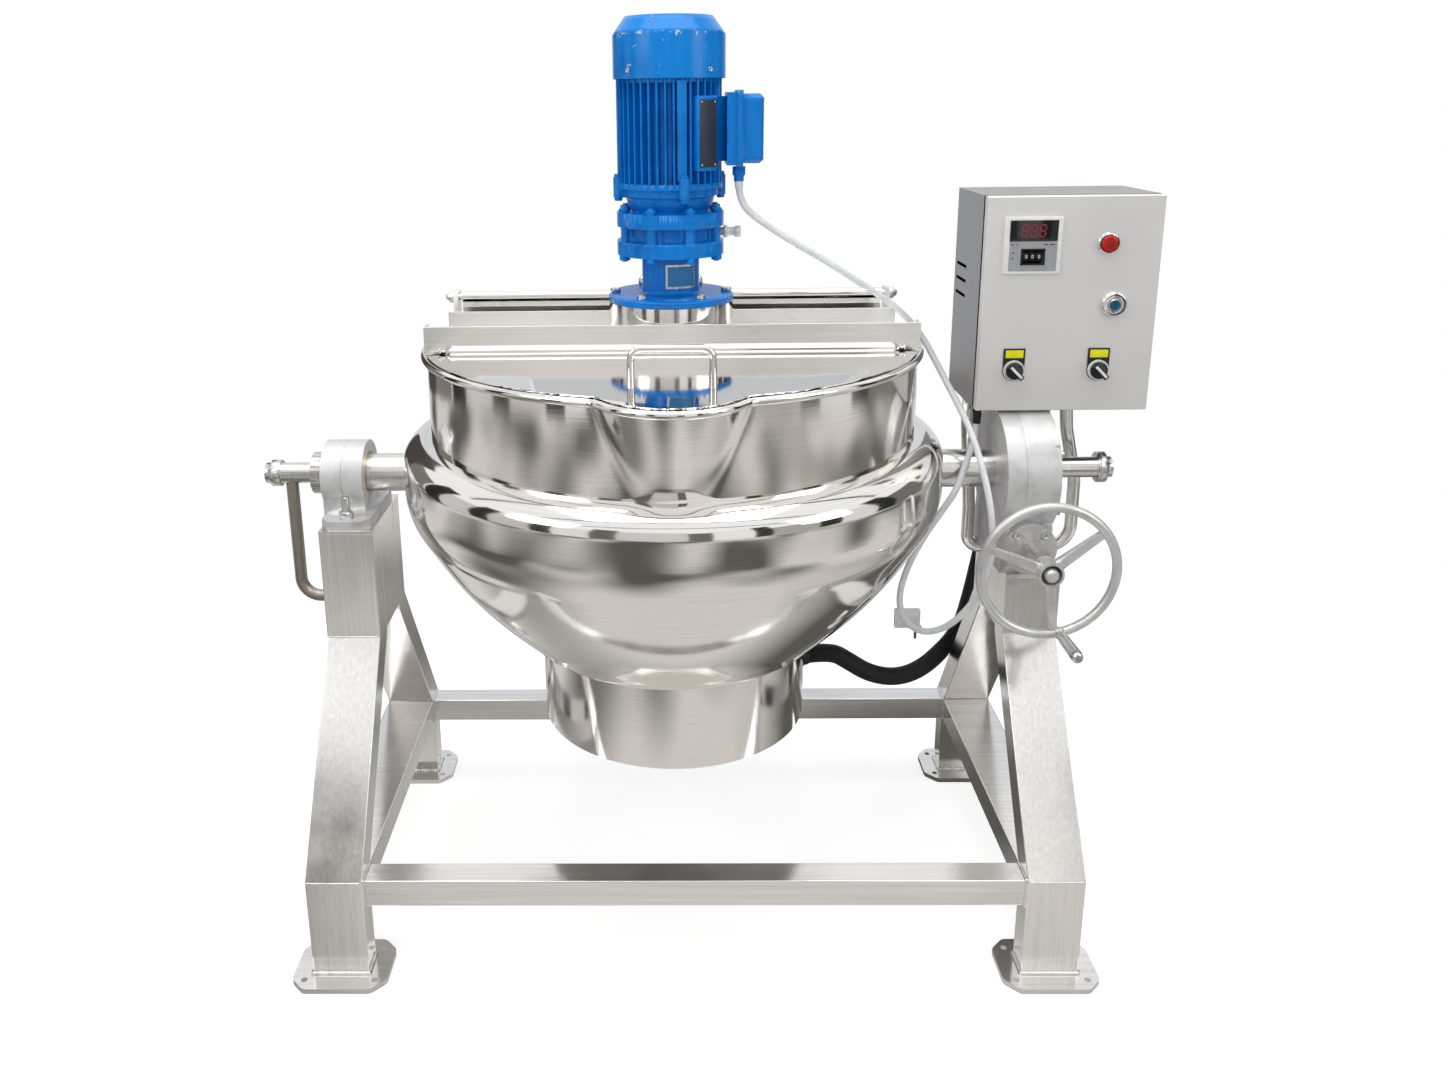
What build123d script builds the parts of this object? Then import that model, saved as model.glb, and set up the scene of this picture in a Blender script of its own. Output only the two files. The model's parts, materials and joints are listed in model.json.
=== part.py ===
from build123d import *
import math
import os

# Tilting jacketed kettle with a top-mounted agitator, on a four-legged stand.
# Millimetres. The origin lies on the floor, midway between the four feet. +Z is up,
# +X is the gearbox side and -Y is the side that the kettle pours to.

# Places of the main axes
kettle_x = -24.0          # vertical axis of the kettle
tilt_z = 670.0            # height of the horizontal tilt axis
running = 0.05            # radial clearance of a shaft in its bush
loose = 0.5               # clearance between parts that pass each other

# Stand of bent square tube
leg_x = 503.0             # middle of each leg
tube_wide = 80.0          # leg tube across, along X
tube_deep = 40.0          # leg tube and rail, front to back
tube_wall = 3.0
foot_y = 257.0            # middle of the vertical foot of a leg
column_y = 63.0           # middle of the vertical top of a leg
bend_low = 157.0          # height of the lower bend on the outer face
bend_high = 438.0         # height of the upper bend on the outer face
column_top_left = 606.0
column_top_right = 533.0
rail_bottom = 116.0
rail_height = 40.0
cap_thick = 4.0
foot_size_x = 136.0
foot_size_y = 100.0
foot_thick = 8.0
foot_cut = 20.0
foot_round = 14.0
foot_hole_x = 100.0
foot_hole_y = 64.0
foot_hole_radius = 4.5

# Inner pot
pot_radius = 350.0
sheet = 3.0               # wall of the pot, the jacket and the skirt
pot_depth = 215.0         # depth of the rounded bottom
equator_z = 673.0         # where the rounded bottom begins
rim_z = 866.0             # middle of the rolled rim
rim_bead = 5.5
spout_half = 84.0         # half width of the spout at the rim
spout_reach = 45.0        # how far the lip stands out of the wall
spout_bottom = 760.0

# Jacket and skirt
jacket_radius = 395.0
collar_z = 745.0          # where the jacket collar meets the pot wall
shoulder_z = 707.0
skirt_radius = 202.0
skirt_bottom = 289.0
skirt_top = 416.0
jacket_bottom = 372.0

# Trunnions
shaft_radius = 28.5
shaft_wall = 4.0
pipe_radius = 15.5
pipe_wall = 2.5

# Left bearing
bearing_radius = 50.0
bearing_width = 62.0
bearing_x = -513.0
bearing_base_x = -505.0
bearing_base_width = 72.0
bearing_base_half = 80.0
bearing_base_thick = 14.0
bush_wall = 4.5
bearing_bolt_y = 62.0

# Worm gearbox on the right column
drum_left = 454.0
drum_right = 530.0
drum_radius = 93.0
drum_wall = 9.0
cover_thick = 19.0
worm_x = 492.0
gear_module = 3.5
wheel_teeth = 42
worm_pitch_radius = 20.0
wheel_face = 24.0
worm_shaft_radius = 14.5
worm_front = -85.0
worm_rear = 62.0
worm_tube_radius = 34.0
worm_flange_radius = 38.0
worm_flange_thick = 10.0
worm_length = 64.0

# Handwheel
handwheel_y = -175.0
handwheel_radius = 93.5
handwheel_bar = 6.5
spoke_angles = (38.0, 158.0, 278.0)
grip_angle = 283.0
grip_length = 80.0
grip_radius = 8.5
grip_pin_radius = 3.5

# Bridge across the rim, and the lids
bridge_half = 95.0        # half width of the bridge, front to back
deck_thick = 3.0
band_top = 911.0
rear_flange_top = 898.0
lid_radius = 356.0
lid_thick = 2.0
lid_gap = 0.5
front_pin_y = -101.5
front_pin_z = 877.5
front_pin_radius = 3.0
front_knuckle_radius = 5.0
rear_rod_y = 120.0
rear_rod_z = 917.0
rear_rod_radius = 5.0
rear_knuckle_radius = 8.0
post_x = 333.0
post_thick = 8.0
handle_radius = 4.7
handle_half = 50.0
handle_y = 300.0
handle_height = 48.0

# Drive on the kettle axis
pedestal_radius = 90.0
pedestal_top = 931.0
base_flange_top = 942.0
neck_radius = 41.0
lower_flange_bottom = 998.0
lower_flange_top = 1014.0
flange_radius = 76.0
ring_radius = 66.0
upper_flange_bottom = 1042.0
upper_flange_top = 1058.0
lug_bottom = 1087.0
lug_top = 1103.0
stator_top = 1243.0
stator_radius = 74.0
fin_root_radius = 62.0
fin_count = 40
fin_thick = 2.4
cowl_radius = 78.0
cowl_wall = 1.5
cowl_shoulder = 1297.0
cowl_top = 1321.0
cowl_top_radius = 61.0
rotor_radius = 42.0
motor_shaft_radius = 9.5
agitator_shaft_radius = 17.5
reducer_ratio = 29

# Control box
box_left = 419.0
box_right = 667.0
box_front = -25.0
box_back = 140.0
box_bottom = 765.0
box_top = 1075.0
box_sheet = 2.0
door_depth = 12.0
box_edge = -6.0           # front edge of the box body
gutter = 9.0              # width of the inward flange behind the door
lip_depth = 14.0
box_hinge_x = 423.0
box_hinge_y = -12.5
post_radius = 9.5
post_y = 60.0

# Cables
cable_radius = 4.8
conduit_radius = 15.0

middle = (Align.CENTER, Align.CENTER, Align.MIN)


def post(radius, bottom, top, x=0.0, y=0.0):
    """Upright cylinder."""
    return Pos(x, y, bottom) * Cylinder(radius, top - bottom, align=middle)


def shaft_x(radius, left, right, y=0.0, z=0.0):
    """Cylinder along X."""
    return Pos(left, y, z) * Rot(0, 90, 0) * Cylinder(radius, right - left, align=middle)


def shaft_y(radius, front, back, x=0.0, z=0.0):
    """Cylinder along Y."""
    return Pos(x, front, z) * Rot(-90, 0, 0) * Cylinder(radius, back - front, align=middle)


def block(left, right, front, back, bottom, top):
    """Box between six faces."""
    size = (right - left, back - front, top - bottom)
    place = Pos((left + right) / 2, (front + back) / 2, (bottom + top) / 2)
    return place * Box(*size)


def turned(*points):
    """Solid of revolution about Z from its half section (radius, height)."""
    return revolve(Plane.XZ * make_face(Polyline(*points, close=True)), Axis.Z)


def bar(points, bend, radius):
    """Round bar along straight runs joined by arcs."""
    path = FilletPolyline(*points, radius=bend)
    return sweep(Plane(path @ 0, z_dir=path % 0) * Circle(radius), path=path)


def hexagon(across, height, direction=Axis.Z):
    """Hexagon head or nut with its bevelled face away from its seat."""
    body = extrude(RegularPolygon(across / 2, 6, major_radius=False), height)
    return body & Pos(0, 0, -1) * Cone(across, across * 0.5, height + 1, align=middle)


def write(name, *shapes):
    """One STEP file for one named piece or group of equal pieces."""
    solids = [solid for shape in shapes for solid in shape.solids()]
    whole = solids[0] if len(solids) == 1 else Compound(children=solids)
    export_step(whole, f"parts/{name}.step")


def kettle(shape):
    """Moves a shape modelled about the kettle axis to its place."""
    return Pos(kettle_x, 0, 0) * shape


# Stand

bend_angle = math.atan2(foot_y - column_y, bend_high - bend_low)


def leg_outline(inset, top):
    """Side outline (Y, Z) of a front leg, or of its hollow when inset by the wall."""
    depths = (inset, tube_deep - inset)
    outer_y = -foot_y - tube_deep / 2
    upper_y = -column_y - tube_deep / 2
    points = []
    for order, depth in enumerate(depths):
        drop = depth * math.tan(bend_angle / 2)
        side = [
            (outer_y + depth, foot_thick),
            (outer_y + depth, bend_low - drop),
            (upper_y + depth, bend_high - drop),
            (upper_y + depth, top),
        ]
        points += side if order == 0 else side[::-1]
    return points


def leg_blank(top):
    profile = Plane.YZ * make_face(Polyline(*leg_outline(0, top), close=True))
    return extrude(profile, tube_wide / 2, both=True)


def leg(side, end, top):
    hollow = Plane.YZ * make_face(Polyline(*leg_outline(tube_wall, top), close=True))
    tube = leg_blank(top) - extrude(hollow, tube_wide / 2 - tube_wall, both=True)
    if end > 0:
        tube = mirror(tube, Plane.XZ)
    return Pos(side * leg_x, 0, 0) * tube


def column_panel(side, top):
    """Channel that closes the gap between the two upright tubes of a column."""
    gap = column_y - tube_deep / 2
    bottom = bend_high - 3
    shell = block(-tube_wide / 2, tube_wide / 2, -gap, gap, bottom, top)
    inside = block(-tube_wide / 2 + tube_wall, tube_wide / 2 - tube_wall, -gap, gap,
                   bottom + tube_wall, top)
    return Pos(side * leg_x, 0, 0) * (shell - inside)


def cross_rail(end):
    """Square tube between the left and right legs."""
    inner = leg_x - tube_wide / 2
    shape = block(-inner, inner, -tube_deep / 2, tube_deep / 2, rail_bottom, rail_bottom + rail_height)
    shape -= block(-inner, inner, -tube_deep / 2 + tube_wall, tube_deep / 2 - tube_wall,
                   rail_bottom + tube_wall, rail_bottom + rail_height - tube_wall)
    return Pos(0, end * (foot_y - 6), 0) * shape


def side_rail(side, top):
    """Rail between the front and rear leg of one side, coped to their bends."""
    reach = foot_y - tube_deep / 2
    wide = tube_wide / 2
    shape = block(-wide, wide, -reach, reach, rail_bottom, rail_bottom + rail_height)
    shape -= block(-wide + tube_wall, wide - tube_wall, -reach, reach,
                   rail_bottom + tube_wall, rail_bottom + rail_height - tube_wall)
    blank = leg_blank(top)
    shape -= blank
    shape -= mirror(blank, Plane.XZ)
    return Pos(side * leg_x, 0, 0) * shape


def foot_plate(side, end):
    plate = extrude(Rectangle(foot_size_x, foot_size_y), foot_thick)
    plate = chamfer(plate.edges().filter_by(Axis.Z), foot_cut)
    plate = fillet(plate.edges().filter_by(Axis.Z), foot_round)
    for x in (-foot_hole_x / 2, foot_hole_x / 2):
        for y in (-foot_hole_y / 2, foot_hole_y / 2):
            plate -= post(foot_hole_radius, 0, foot_thick, x, y)
    return Pos(side * leg_x, end * foot_y, 0) * plate


bolt_radius = 6.0
bolt_across = 19.0


def cap_plate(side, top):
    """Plate that closes a column, drilled for what is bolted on it."""
    depth = column_y + tube_deep / 2
    plate = block(-tube_wide / 2, tube_wide / 2, -depth, depth, top - cap_thick, top)
    plate = Pos(side * leg_x, 0, 0) * plate
    for y in (-bearing_bolt_y, bearing_bolt_y):
        seat = bearing_base_x if side < 0 else worm_x
        plate -= post(bolt_radius, top - cap_thick, top, seat, y)
    return plate


# Left bearing

base_top = column_top_left + bearing_base_thick
bush_radius = shaft_radius + bush_wall


def bearing_housing():
    left = bearing_x - bearing_width / 2
    right = bearing_x + bearing_width / 2
    hub = shaft_x(bearing_radius, left, right, z=tilt_z)
    web_half = bearing_radius * 0.84
    web = block(left, right, -web_half, web_half, column_top_left + 1, tilt_z)
    base_left = bearing_base_x - bearing_base_width / 2
    base_right = bearing_base_x + bearing_base_width / 2
    base = block(base_left, base_right, -bearing_base_half, bearing_base_half, column_top_left, base_top)
    base = chamfer(base.edges().filter_by(Axis.Z), 14)
    web = web & block(left, base_right, -web_half, web_half, column_top_left, tilt_z)
    shape = hub + web + base
    groove = shaft_x(bearing_radius + 2, bearing_x - 0.6, bearing_x + 0.6, z=tilt_z)
    groove -= shaft_x(bearing_radius - 0.8, left, right, z=tilt_z)
    groove -= block(left, right, -2 * bearing_radius, 2 * bearing_radius, 0, tilt_z - 20)
    shape -= groove
    shape -= shaft_x(bush_radius, left, right, z=tilt_z)
    for y in (-bearing_bolt_y, bearing_bolt_y):
        shape -= post(bolt_radius, column_top_left, base_top, bearing_base_x, y)
    return shape


def bearing_bush():
    left = bearing_x - bearing_width / 2
    right = bearing_x + bearing_width / 2
    shape = shaft_x(bush_radius, left, right, z=tilt_z)
    return shape - shaft_x(shaft_radius + running, left, right, z=tilt_z)


def bearing_bolts():
    """Studs through the bearing foot and the cap plate, each with a nut above and below."""
    bolts = []
    for y in (-bearing_bolt_y, bearing_bolt_y):
        stud = post(bolt_radius, column_top_left - cap_thick - 12, base_top + 32)
        nut = Pos(0, 0, base_top) * hexagon(bolt_across, 10)
        low = Pos(0, 0, column_top_left - cap_thick) * Rot(180, 0, 0) * hexagon(bolt_across, 8)
        bolts.append(Pos(bearing_base_x, y, 0) * (stud + nut + low))
    return bolts


# Pot, jacket and skirt

def vessel_face(radius, depth, top):
    """Half section of an upright cylinder over half an ellipsoid."""
    corner = Pos(radius / 2, equator_z - depth / 2) * Rectangle(radius, depth)
    bottom = (Pos(0, equator_z) * Ellipse(radius, depth)) & corner
    wall = Pos(radius / 2, (equator_z + top) / 2) * Rectangle(radius, top - equator_z)
    return bottom + wall


def vessel(radius, depth, top):
    return revolve(Plane.XZ * vessel_face(radius, depth, top), Axis.Z)


chord_y = -(pot_radius ** 2 - spout_half ** 2) ** 0.5
spout_rise = chord_y + pot_radius + spout_reach
nose_radius = (spout_half ** 2 + spout_rise ** 2) / (2 * spout_rise)
nose_y = -pot_radius - spout_reach + nose_radius
exit_share = ((-nose_y - pot_radius) / -nose_radius) ** 2
dome_bottom = (spout_bottom - exit_share * rim_z) / (1 - exit_share)


def spout_solid(grow, top):
    """Deep dome that swells out of the pot wall; its horizontal sections are circles."""
    points = []
    for step in range(9):
        share = (step / 8) ** 1.6
        radius = nose_radius * share ** 0.5 + (grow if step else 0)
        points.append((radius, dome_bottom - grow + share * (rim_z - dome_bottom + grow)))
    side = Spline(*points, tangents=((1, 0), (0.31, 1)))
    rest = Polyline(points[-1], (points[-1][0], top + 0.0), (0, top + 0.0), points[0]) \
        if top > rim_z else Polyline(points[-1], (0, rim_z), points[0])
    body = revolve(Plane.XZ * make_face(side + rest), Axis.Z)
    return Pos(0, nose_y, 0) * body


mouth_fillet = 16.0


def opening_outline(grow):
    """Plan outline of the mouth: the round wall, the nose of the spout and the two bends between."""
    wall = pot_radius + grow
    nose = nose_radius + grow
    bend_y = ((wall + mouth_fillet) ** 2 - (nose + mouth_fillet) ** 2 + nose_y ** 2) / (2 * nose_y)
    bend_x = ((wall + mouth_fillet) ** 2 - bend_y ** 2) ** 0.5
    share = wall / (wall + mouth_fillet)
    on_wall = (bend_x * share, bend_y * share)
    share = nose / (nose + mouth_fillet)
    on_nose = (bend_x * share, nose_y + (bend_y - nose_y) * share)
    half = ((on_wall[0] + on_nose[0]) / 2 - bend_x, (on_wall[1] + on_nose[1]) / 2 - bend_y)
    length = (half[0] ** 2 + half[1] ** 2) ** 0.5
    middle_bend = (bend_x + half[0] * mouth_fillet / length, bend_y + half[1] * mouth_fillet / length)

    def left(point):
        return (-point[0], point[1])

    edges = ThreePointArc(left(on_nose), (0, nose_y - nose), on_nose)
    edges += ThreePointArc(on_nose, middle_bend, on_wall)
    edges += ThreePointArc(on_wall, (0, wall), left(on_wall))
    edges += ThreePointArc(left(on_wall), left(middle_bend), left(on_nose))
    return make_face(edges)


def inner_pot():
    shape = vessel(pot_radius + sheet, pot_depth + sheet, rim_z) + spout_solid(sheet, rim_z)
    shape -= vessel(pot_radius, pot_depth, rim_z)
    shape -= spout_solid(0, rim_z)
    path = opening_outline(rim_bead).face().outer_wire().moved(Location((0, 0, rim_z)))
    bead = sweep(Plane(path @ 0, z_dir=path % 0) * Circle(rim_bead), path=path)
    return kettle(shape + bead)


jacket_bowl = [(0, jacket_bottom), (110, 384), (207, skirt_top), (248, 450), (297, 500), (337, 550), (369, 600),
               (388.5, 637), (jacket_radius, equator_z)]


def jacket_solid(inset=0.0):
    """Round form of the jacket: deep bowl, straight wall and a collar that bends in to the pot."""
    outer = Spline(*jacket_bowl, tangents=((1, 0), (0, 1)))
    points = []
    for step in range(13):
        slope = outer % (step / 12)
        point = outer @ (step / 12)
        points.append((point.X - inset * slope.Y, point.Y + inset * slope.X))
    points[0] = (0, jacket_bottom + inset)
    points[-1] = (jacket_radius - inset, equator_z)
    bowl = Spline(*points, tangents=((1, 0), (0, 1)))
    collar = ThreePointArc((jacket_radius, shoulder_z), (384, 733), (pot_radius + sheet, collar_z))
    bend = collar.arc_center
    rounding = []
    for step in (0, 0.5, 1):
        inward = (bend - collar @ step).normalized() * inset
        rounding.append((collar @ step) + inward)
    rounding[0] = Vector(jacket_radius - inset, shoulder_z)
    top = rounding[2]
    edges = [
        bowl,
        Line(points[-1], rounding[0]),
        ThreePointArc(*rounding),
        Line(top, (0, top.Y)),
        Line((0, top.Y), points[0]),
    ]
    return revolve(Plane.XZ * make_face(edges), Axis.Z)


heater_radius = 6.0
heater_ring = 130.0
heater_z = 428.0
heater_end_z = 352.0
heater_angles = (20, 140, 260)
heater_span = 80


def heater_points(start):
    """Bent route of one heater rod: up, round under the pot and down again."""
    points = []
    for share in (0, 0, 0.33, 0.67, 1, 1):
        angle = math.radians(start + share * heater_span)
        low = heater_end_z if len(points) in (0, 5) else heater_z
        points.append((heater_ring * math.cos(angle), heater_ring * math.sin(angle), low))
    return points


def heater_legs(radius, bottom, top):
    legs = []
    for start in heater_angles:
        for turn in (0, heater_span):
            angle = math.radians(start + turn)
            x = heater_ring * math.cos(angle)
            y = heater_ring * math.sin(angle)
            legs.append(post(radius, bottom, top, x, y))
    return legs


def jacket():
    shape = jacket_solid() - jacket_solid(sheet)
    shape -= vessel(pot_radius + sheet, pot_depth + sheet, rim_z)
    for hole in heater_legs(heater_radius, heater_end_z, heater_z - 16):
        shape -= hole
    bore = shaft_x(shaft_radius - shaft_wall, -jacket_radius - 20, jacket_radius + 20, z=tilt_z)
    shape -= bore - post(pot_radius + 20, 0, 900)
    return kettle(shape)


def skirt():
    tube = post(skirt_radius, skirt_bottom, skirt_top + 20) - post(skirt_radius - sheet, 0, skirt_top + 20)
    return kettle(tube - jacket_solid())


def skirt_cover():
    """Plate that closes the skirt from below, set a little way up."""
    plate = post(skirt_radius - sheet, skirt_bottom + 6, skirt_bottom + 8)
    for angle in range(0, 360, 60):
        vent = Rot(0, 0, angle) * block(60, 130, -4, 4, skirt_bottom + 6, skirt_bottom + 8)
        plate -= vent
    return kettle(plate)


def heaters():
    rods = []
    for start in heater_angles:
        rods.append(kettle(bar(heater_points(start), 15, heater_radius)))
    return rods


def heater_glands():
    """Hexagon bosses under the jacket that the heater rods pass through."""
    glands = []
    holes = heater_legs(heater_radius, heater_end_z - 10, heater_z)
    for boss, hole in zip(heater_legs(12, heater_end_z + 8, heater_z - 16), holes):
        glands.append(kettle(boss - jacket_solid() - hole))
    return glands


# Trunnions

pipe_left_end = -638.0
pipe_right_end = 632.0
shaft_left_end = -560.0
shaft_right_end = 545.0


def trunnion(side):
    """Hollow shaft welded to the jacket."""
    end = shaft_left_end if side < 0 else shaft_right_end
    ends = sorted((kettle_x, end))
    shape = shaft_x(shaft_radius, ends[0], ends[1], z=tilt_z)
    shape -= shaft_x(shaft_radius - shaft_wall, ends[0], ends[1], z=tilt_z)
    return shape - kettle(jacket_solid())


def packing(side):
    """Ring that seals the stub pipe in the end of the hollow shaft."""
    end = shaft_left_end if side < 0 else shaft_right_end
    ends = sorted((end, end - side * 16))
    clearance = running if side < 0 else 0
    shape = shaft_x(shaft_radius - shaft_wall, ends[0], ends[1], z=tilt_z)
    return shape - shaft_x(pipe_radius + clearance, ends[0], ends[1], z=tilt_z)


def lock_ring(side):
    """Notched ring nut on the end of a shaft, with a cap that holds the packing."""
    end = shaft_left_end if side < 0 else shaft_right_end
    outside = end + side * 5
    ends = sorted((outside, end - side * 10))
    shape = shaft_x(31.5, ends[0], ends[1], z=tilt_z)
    threads = sorted((end, end - side * 10))
    shape -= shaft_x(shaft_radius, threads[0], threads[1], z=tilt_z)
    shape -= shaft_x(pipe_radius + (0.3 if side < 0 else 0), ends[0], ends[1], z=tilt_z)
    notches = 18
    for number in range(notches):
        angle = 360 * number / notches
        notch = block(ends[0], ends[1], -1.6, 1.6, 30, 33)
        shape -= Pos(0, 0, tilt_z) * Rot(angle, 0, 0) * notch
    return shape


def inlet_pipe():
    """Fixed stub pipe on the left with its collar."""
    inner = shaft_left_end + 16
    shape = shaft_x(pipe_radius, pipe_left_end, inner, z=tilt_z)
    shape += shaft_x(20, pipe_left_end + 9, pipe_left_end + 22, z=tilt_z)
    return shape - shaft_x(pipe_radius - pipe_wall, pipe_left_end, inner, z=tilt_z)


def outlet_pipe():
    """Stub pipe on the right, which turns with the kettle, with its clamp ring."""
    inner = shaft_right_end - 16
    shape = shaft_x(pipe_radius, inner, pipe_right_end, z=tilt_z)
    shape += shaft_x(23, pipe_right_end - 21, pipe_right_end - 10, z=tilt_z)
    return shape - shaft_x(pipe_radius - pipe_wall, inner, pipe_right_end, z=tilt_z)


stay_x = -602.0
stay_z = 469.0
stay_radius = 9.2


def stay_rod():
    """Rod that keeps the left stub pipe from turning."""
    end = -leg_x - tube_wide / 2
    rod = bar([(stay_x, 0, tilt_z), (stay_x, 0, stay_z), (end, 0, stay_z)], 30, stay_radius)
    return rod - shaft_x(pipe_radius, pipe_left_end, shaft_left_end, z=tilt_z)


# Worm gearbox

wheel_pitch_radius = gear_module * wheel_teeth / 2
worm_z = tilt_z - wheel_pitch_radius - worm_pitch_radius
cover_left = drum_right - cover_thick
worm_lead = math.pi * gear_module
tooth_play = 0.5
gear_slope = math.atan(worm_lead / (2 * math.pi * worm_pitch_radius))


def gearbox_envelope(left, right):
    return shaft_x(drum_radius, left, right, z=tilt_z)


def gearbox_housing():
    """Cast body: drum round the wheel, tube round the worm and a foot on the column."""
    body = gearbox_envelope(drum_left, cover_left)
    foot_top = worm_z + 10
    half = column_y + tube_deep / 2 - 6
    outline = make_face(Polyline(
        (-half, column_top_right), (half, column_top_right), (half, column_top_right + 12),
        (66, foot_top + 30), (-66, foot_top + 30), (-half, column_top_right + 12), close=True))
    foot = extrude(Plane.YZ * outline, drum_right - drum_left)
    body += Pos(drum_left, 0, 0) * foot
    body += shaft_y(worm_tube_radius, worm_front, worm_rear, worm_x, worm_z)
    body -= gearbox_envelope(cover_left, drum_right + 1)
    inner = drum_radius - drum_wall
    body -= shaft_x(inner, drum_left + drum_wall, cover_left, z=tilt_z)
    body -= shaft_x(shaft_radius + running, drum_left, cover_left, z=tilt_z)
    body -= shaft_y(25, worm_front, worm_rear - 26, worm_x, worm_z)
    body -= shaft_y(20, worm_front, worm_rear - 6, worm_x, worm_z)
    seam_x = drum_left + 27
    seam = shaft_x(drum_radius + 2, seam_x - 0.6, seam_x + 0.6, z=tilt_z)
    seam -= shaft_x(drum_radius - 0.8, drum_left, cover_left, z=tilt_z)
    body -= seam & block(drum_left, cover_left, -200, 200, tilt_z - 20, tilt_z + 200)
    for y in (-bearing_bolt_y, bearing_bolt_y):
        body -= post(bolt_radius, column_top_right, column_top_right + 12, worm_x, y)
    for y, z in cover_screws():
        body -= shaft_x(3, cover_left - 14, cover_left, y, z)
    return body


def cover_screws():
    places = []
    for angle in range(30, 360, 60):
        turn = math.radians(angle)
        radius = drum_radius - 6
        if math.sin(turn) > -0.9:
            places.append((radius * math.cos(turn), tilt_z + radius * math.sin(turn)))
    return places


def gearbox_cover():
    cover = gearbox_envelope(cover_left, drum_right)
    cover -= shaft_x(drum_radius - drum_wall - 4, cover_left, drum_right - 9, z=tilt_z)
    cover -= shaft_x(shaft_radius + running, cover_left, drum_right, z=tilt_z)
    cover -= shaft_y(25, worm_front, worm_rear, worm_x, worm_z)
    for y, z in cover_screws():
        cover -= shaft_x(3, cover_left, drum_right, y, z)
    return cover


def gearbox_screws():
    """Cap screws of the cover, and the two studs and nuts of the foot."""
    screws = []
    for y, z in cover_screws():
        screw = shaft_x(3, cover_left - 12, drum_right, y, z) + shaft_x(5, drum_right, drum_right + 5, y, z)
        screws.append(screw)
    for y in (-bearing_bolt_y, bearing_bolt_y):
        stud = post(bolt_radius, column_top_right - cap_thick - 12, column_top_right + 12)
        low = Pos(0, 0, column_top_right - cap_thick) * Rot(180, 0, 0) * hexagon(bolt_across, 8)
        screws.append(Pos(worm_x, y, 0) * (stud + low))
    return screws


def worm_flange():
    """Round cap on the front of the worm tube."""
    front = worm_front - worm_flange_thick
    cap = shaft_y(worm_flange_radius, front, worm_front, worm_x, worm_z)
    cap += shaft_y(25, worm_front, worm_front + 25, worm_x, worm_z)
    cap -= shaft_y(worm_shaft_radius + running, front, worm_front + 25, worm_x, worm_z)
    for x in (-20, 20):
        place = (worm_x + x, worm_z + 21)
        cap -= shaft_y(6.5, front, front + 5, *place)
    return cap


def worm_flange_screws():
    front = worm_front - worm_flange_thick
    screws = []
    for x in (-20, 20):
        place = (worm_x + x, worm_z + 21)
        head = shaft_y(6.2, front - 1.5, front + 5, *place)
        head -= extrude(Pos(place[0], front - 1.5, place[1]) * Rot(90, 0, 0)
                        * RegularPolygon(3, 6), -3.5)
        screws.append(head)
    return screws


def worm_bush():
    back = worm_rear - 6
    bush = shaft_y(20, back - 20, back, worm_x, worm_z)
    return bush - shaft_y(worm_shaft_radius + running, back - 20, back, worm_x, worm_z)


def worm_wheel():
    """Gear on the right trunnion, with slanted teeth that mesh with the worm."""
    tip = wheel_pitch_radius + gear_module
    root = wheel_pitch_radius - 1.25 * gear_module
    pitch_half = math.pi * gear_module / 4 - tooth_play / 2
    slope = math.tan(math.radians(20))
    tip_half = pitch_half - gear_module * slope
    root_half = pitch_half + 1.25 * gear_module * slope
    outline = []
    for number in range(wheel_teeth):
        angle = 2 * math.pi * (number + 0.5) / wheel_teeth - math.pi / 2
        corners = ((root, -root_half), (tip, -tip_half), (tip, tip_half), (root, root_half))
        for radius, along in corners:
            turn = angle + along / radius
            outline.append((radius * math.cos(turn), radius * math.sin(turn)))
    twist = math.degrees(wheel_face * math.tan(gear_slope) / wheel_pitch_radius)
    section = Wire.make_polygon(outline)
    gear = Solid.extrude_linear_with_rotation(section, (0, 0, 0), (0, 0, wheel_face), twist)
    gear = Rot(0, 0, -twist / 2) * gear
    gear -= Cylinder(shaft_radius, wheel_face, align=middle)
    axis = Plane((worm_x - wheel_face / 2, 0, tilt_z), x_dir=(0, 1, 0), z_dir=(1, 0, 0))
    return axis.location * gear


def worm():
    """Worm and its shaft in one piece, from the rear bush to the handwheel."""
    start = handwheel_y - 8
    back = worm_rear - 8
    core = worm_pitch_radius - 1.25 * gear_module
    outer = worm_pitch_radius + gear_module
    pitch_half = math.pi * gear_module / 4 - tooth_play / 2
    slope = math.tan(math.radians(20))
    thread_length = worm_length - 2 * worm_lead
    path = Helix(worm_lead, thread_length, core - 0.6)
    foot_half = pitch_half + (1.25 * gear_module + 0.6) * slope
    tip_half = pitch_half - gear_module * slope
    profile = make_face(Polyline(
        (core - 0.6, -foot_half), (outer, -tip_half), (outer, tip_half), (core - 0.6, foot_half),
        close=True))
    thread = sweep(Plane.XZ * profile, path=path, is_frenet=True)
    half_turns = 180 * thread_length / worm_lead
    thread = Rot(0, 0, -90 - half_turns) * Pos(0, 0, -thread_length / 2) * thread
    body = Cylinder(core, worm_length) + thread
    body = Pos(worm_x, 0, worm_z) * Rot(-90, 0, 0) * body
    body += shaft_y(worm_shaft_radius, start, -worm_length / 2, worm_x, worm_z)
    body += shaft_y(worm_shaft_radius, worm_length / 2, back, worm_x, worm_z)
    return body


# Handwheel

hub_radius = 17.5


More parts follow.
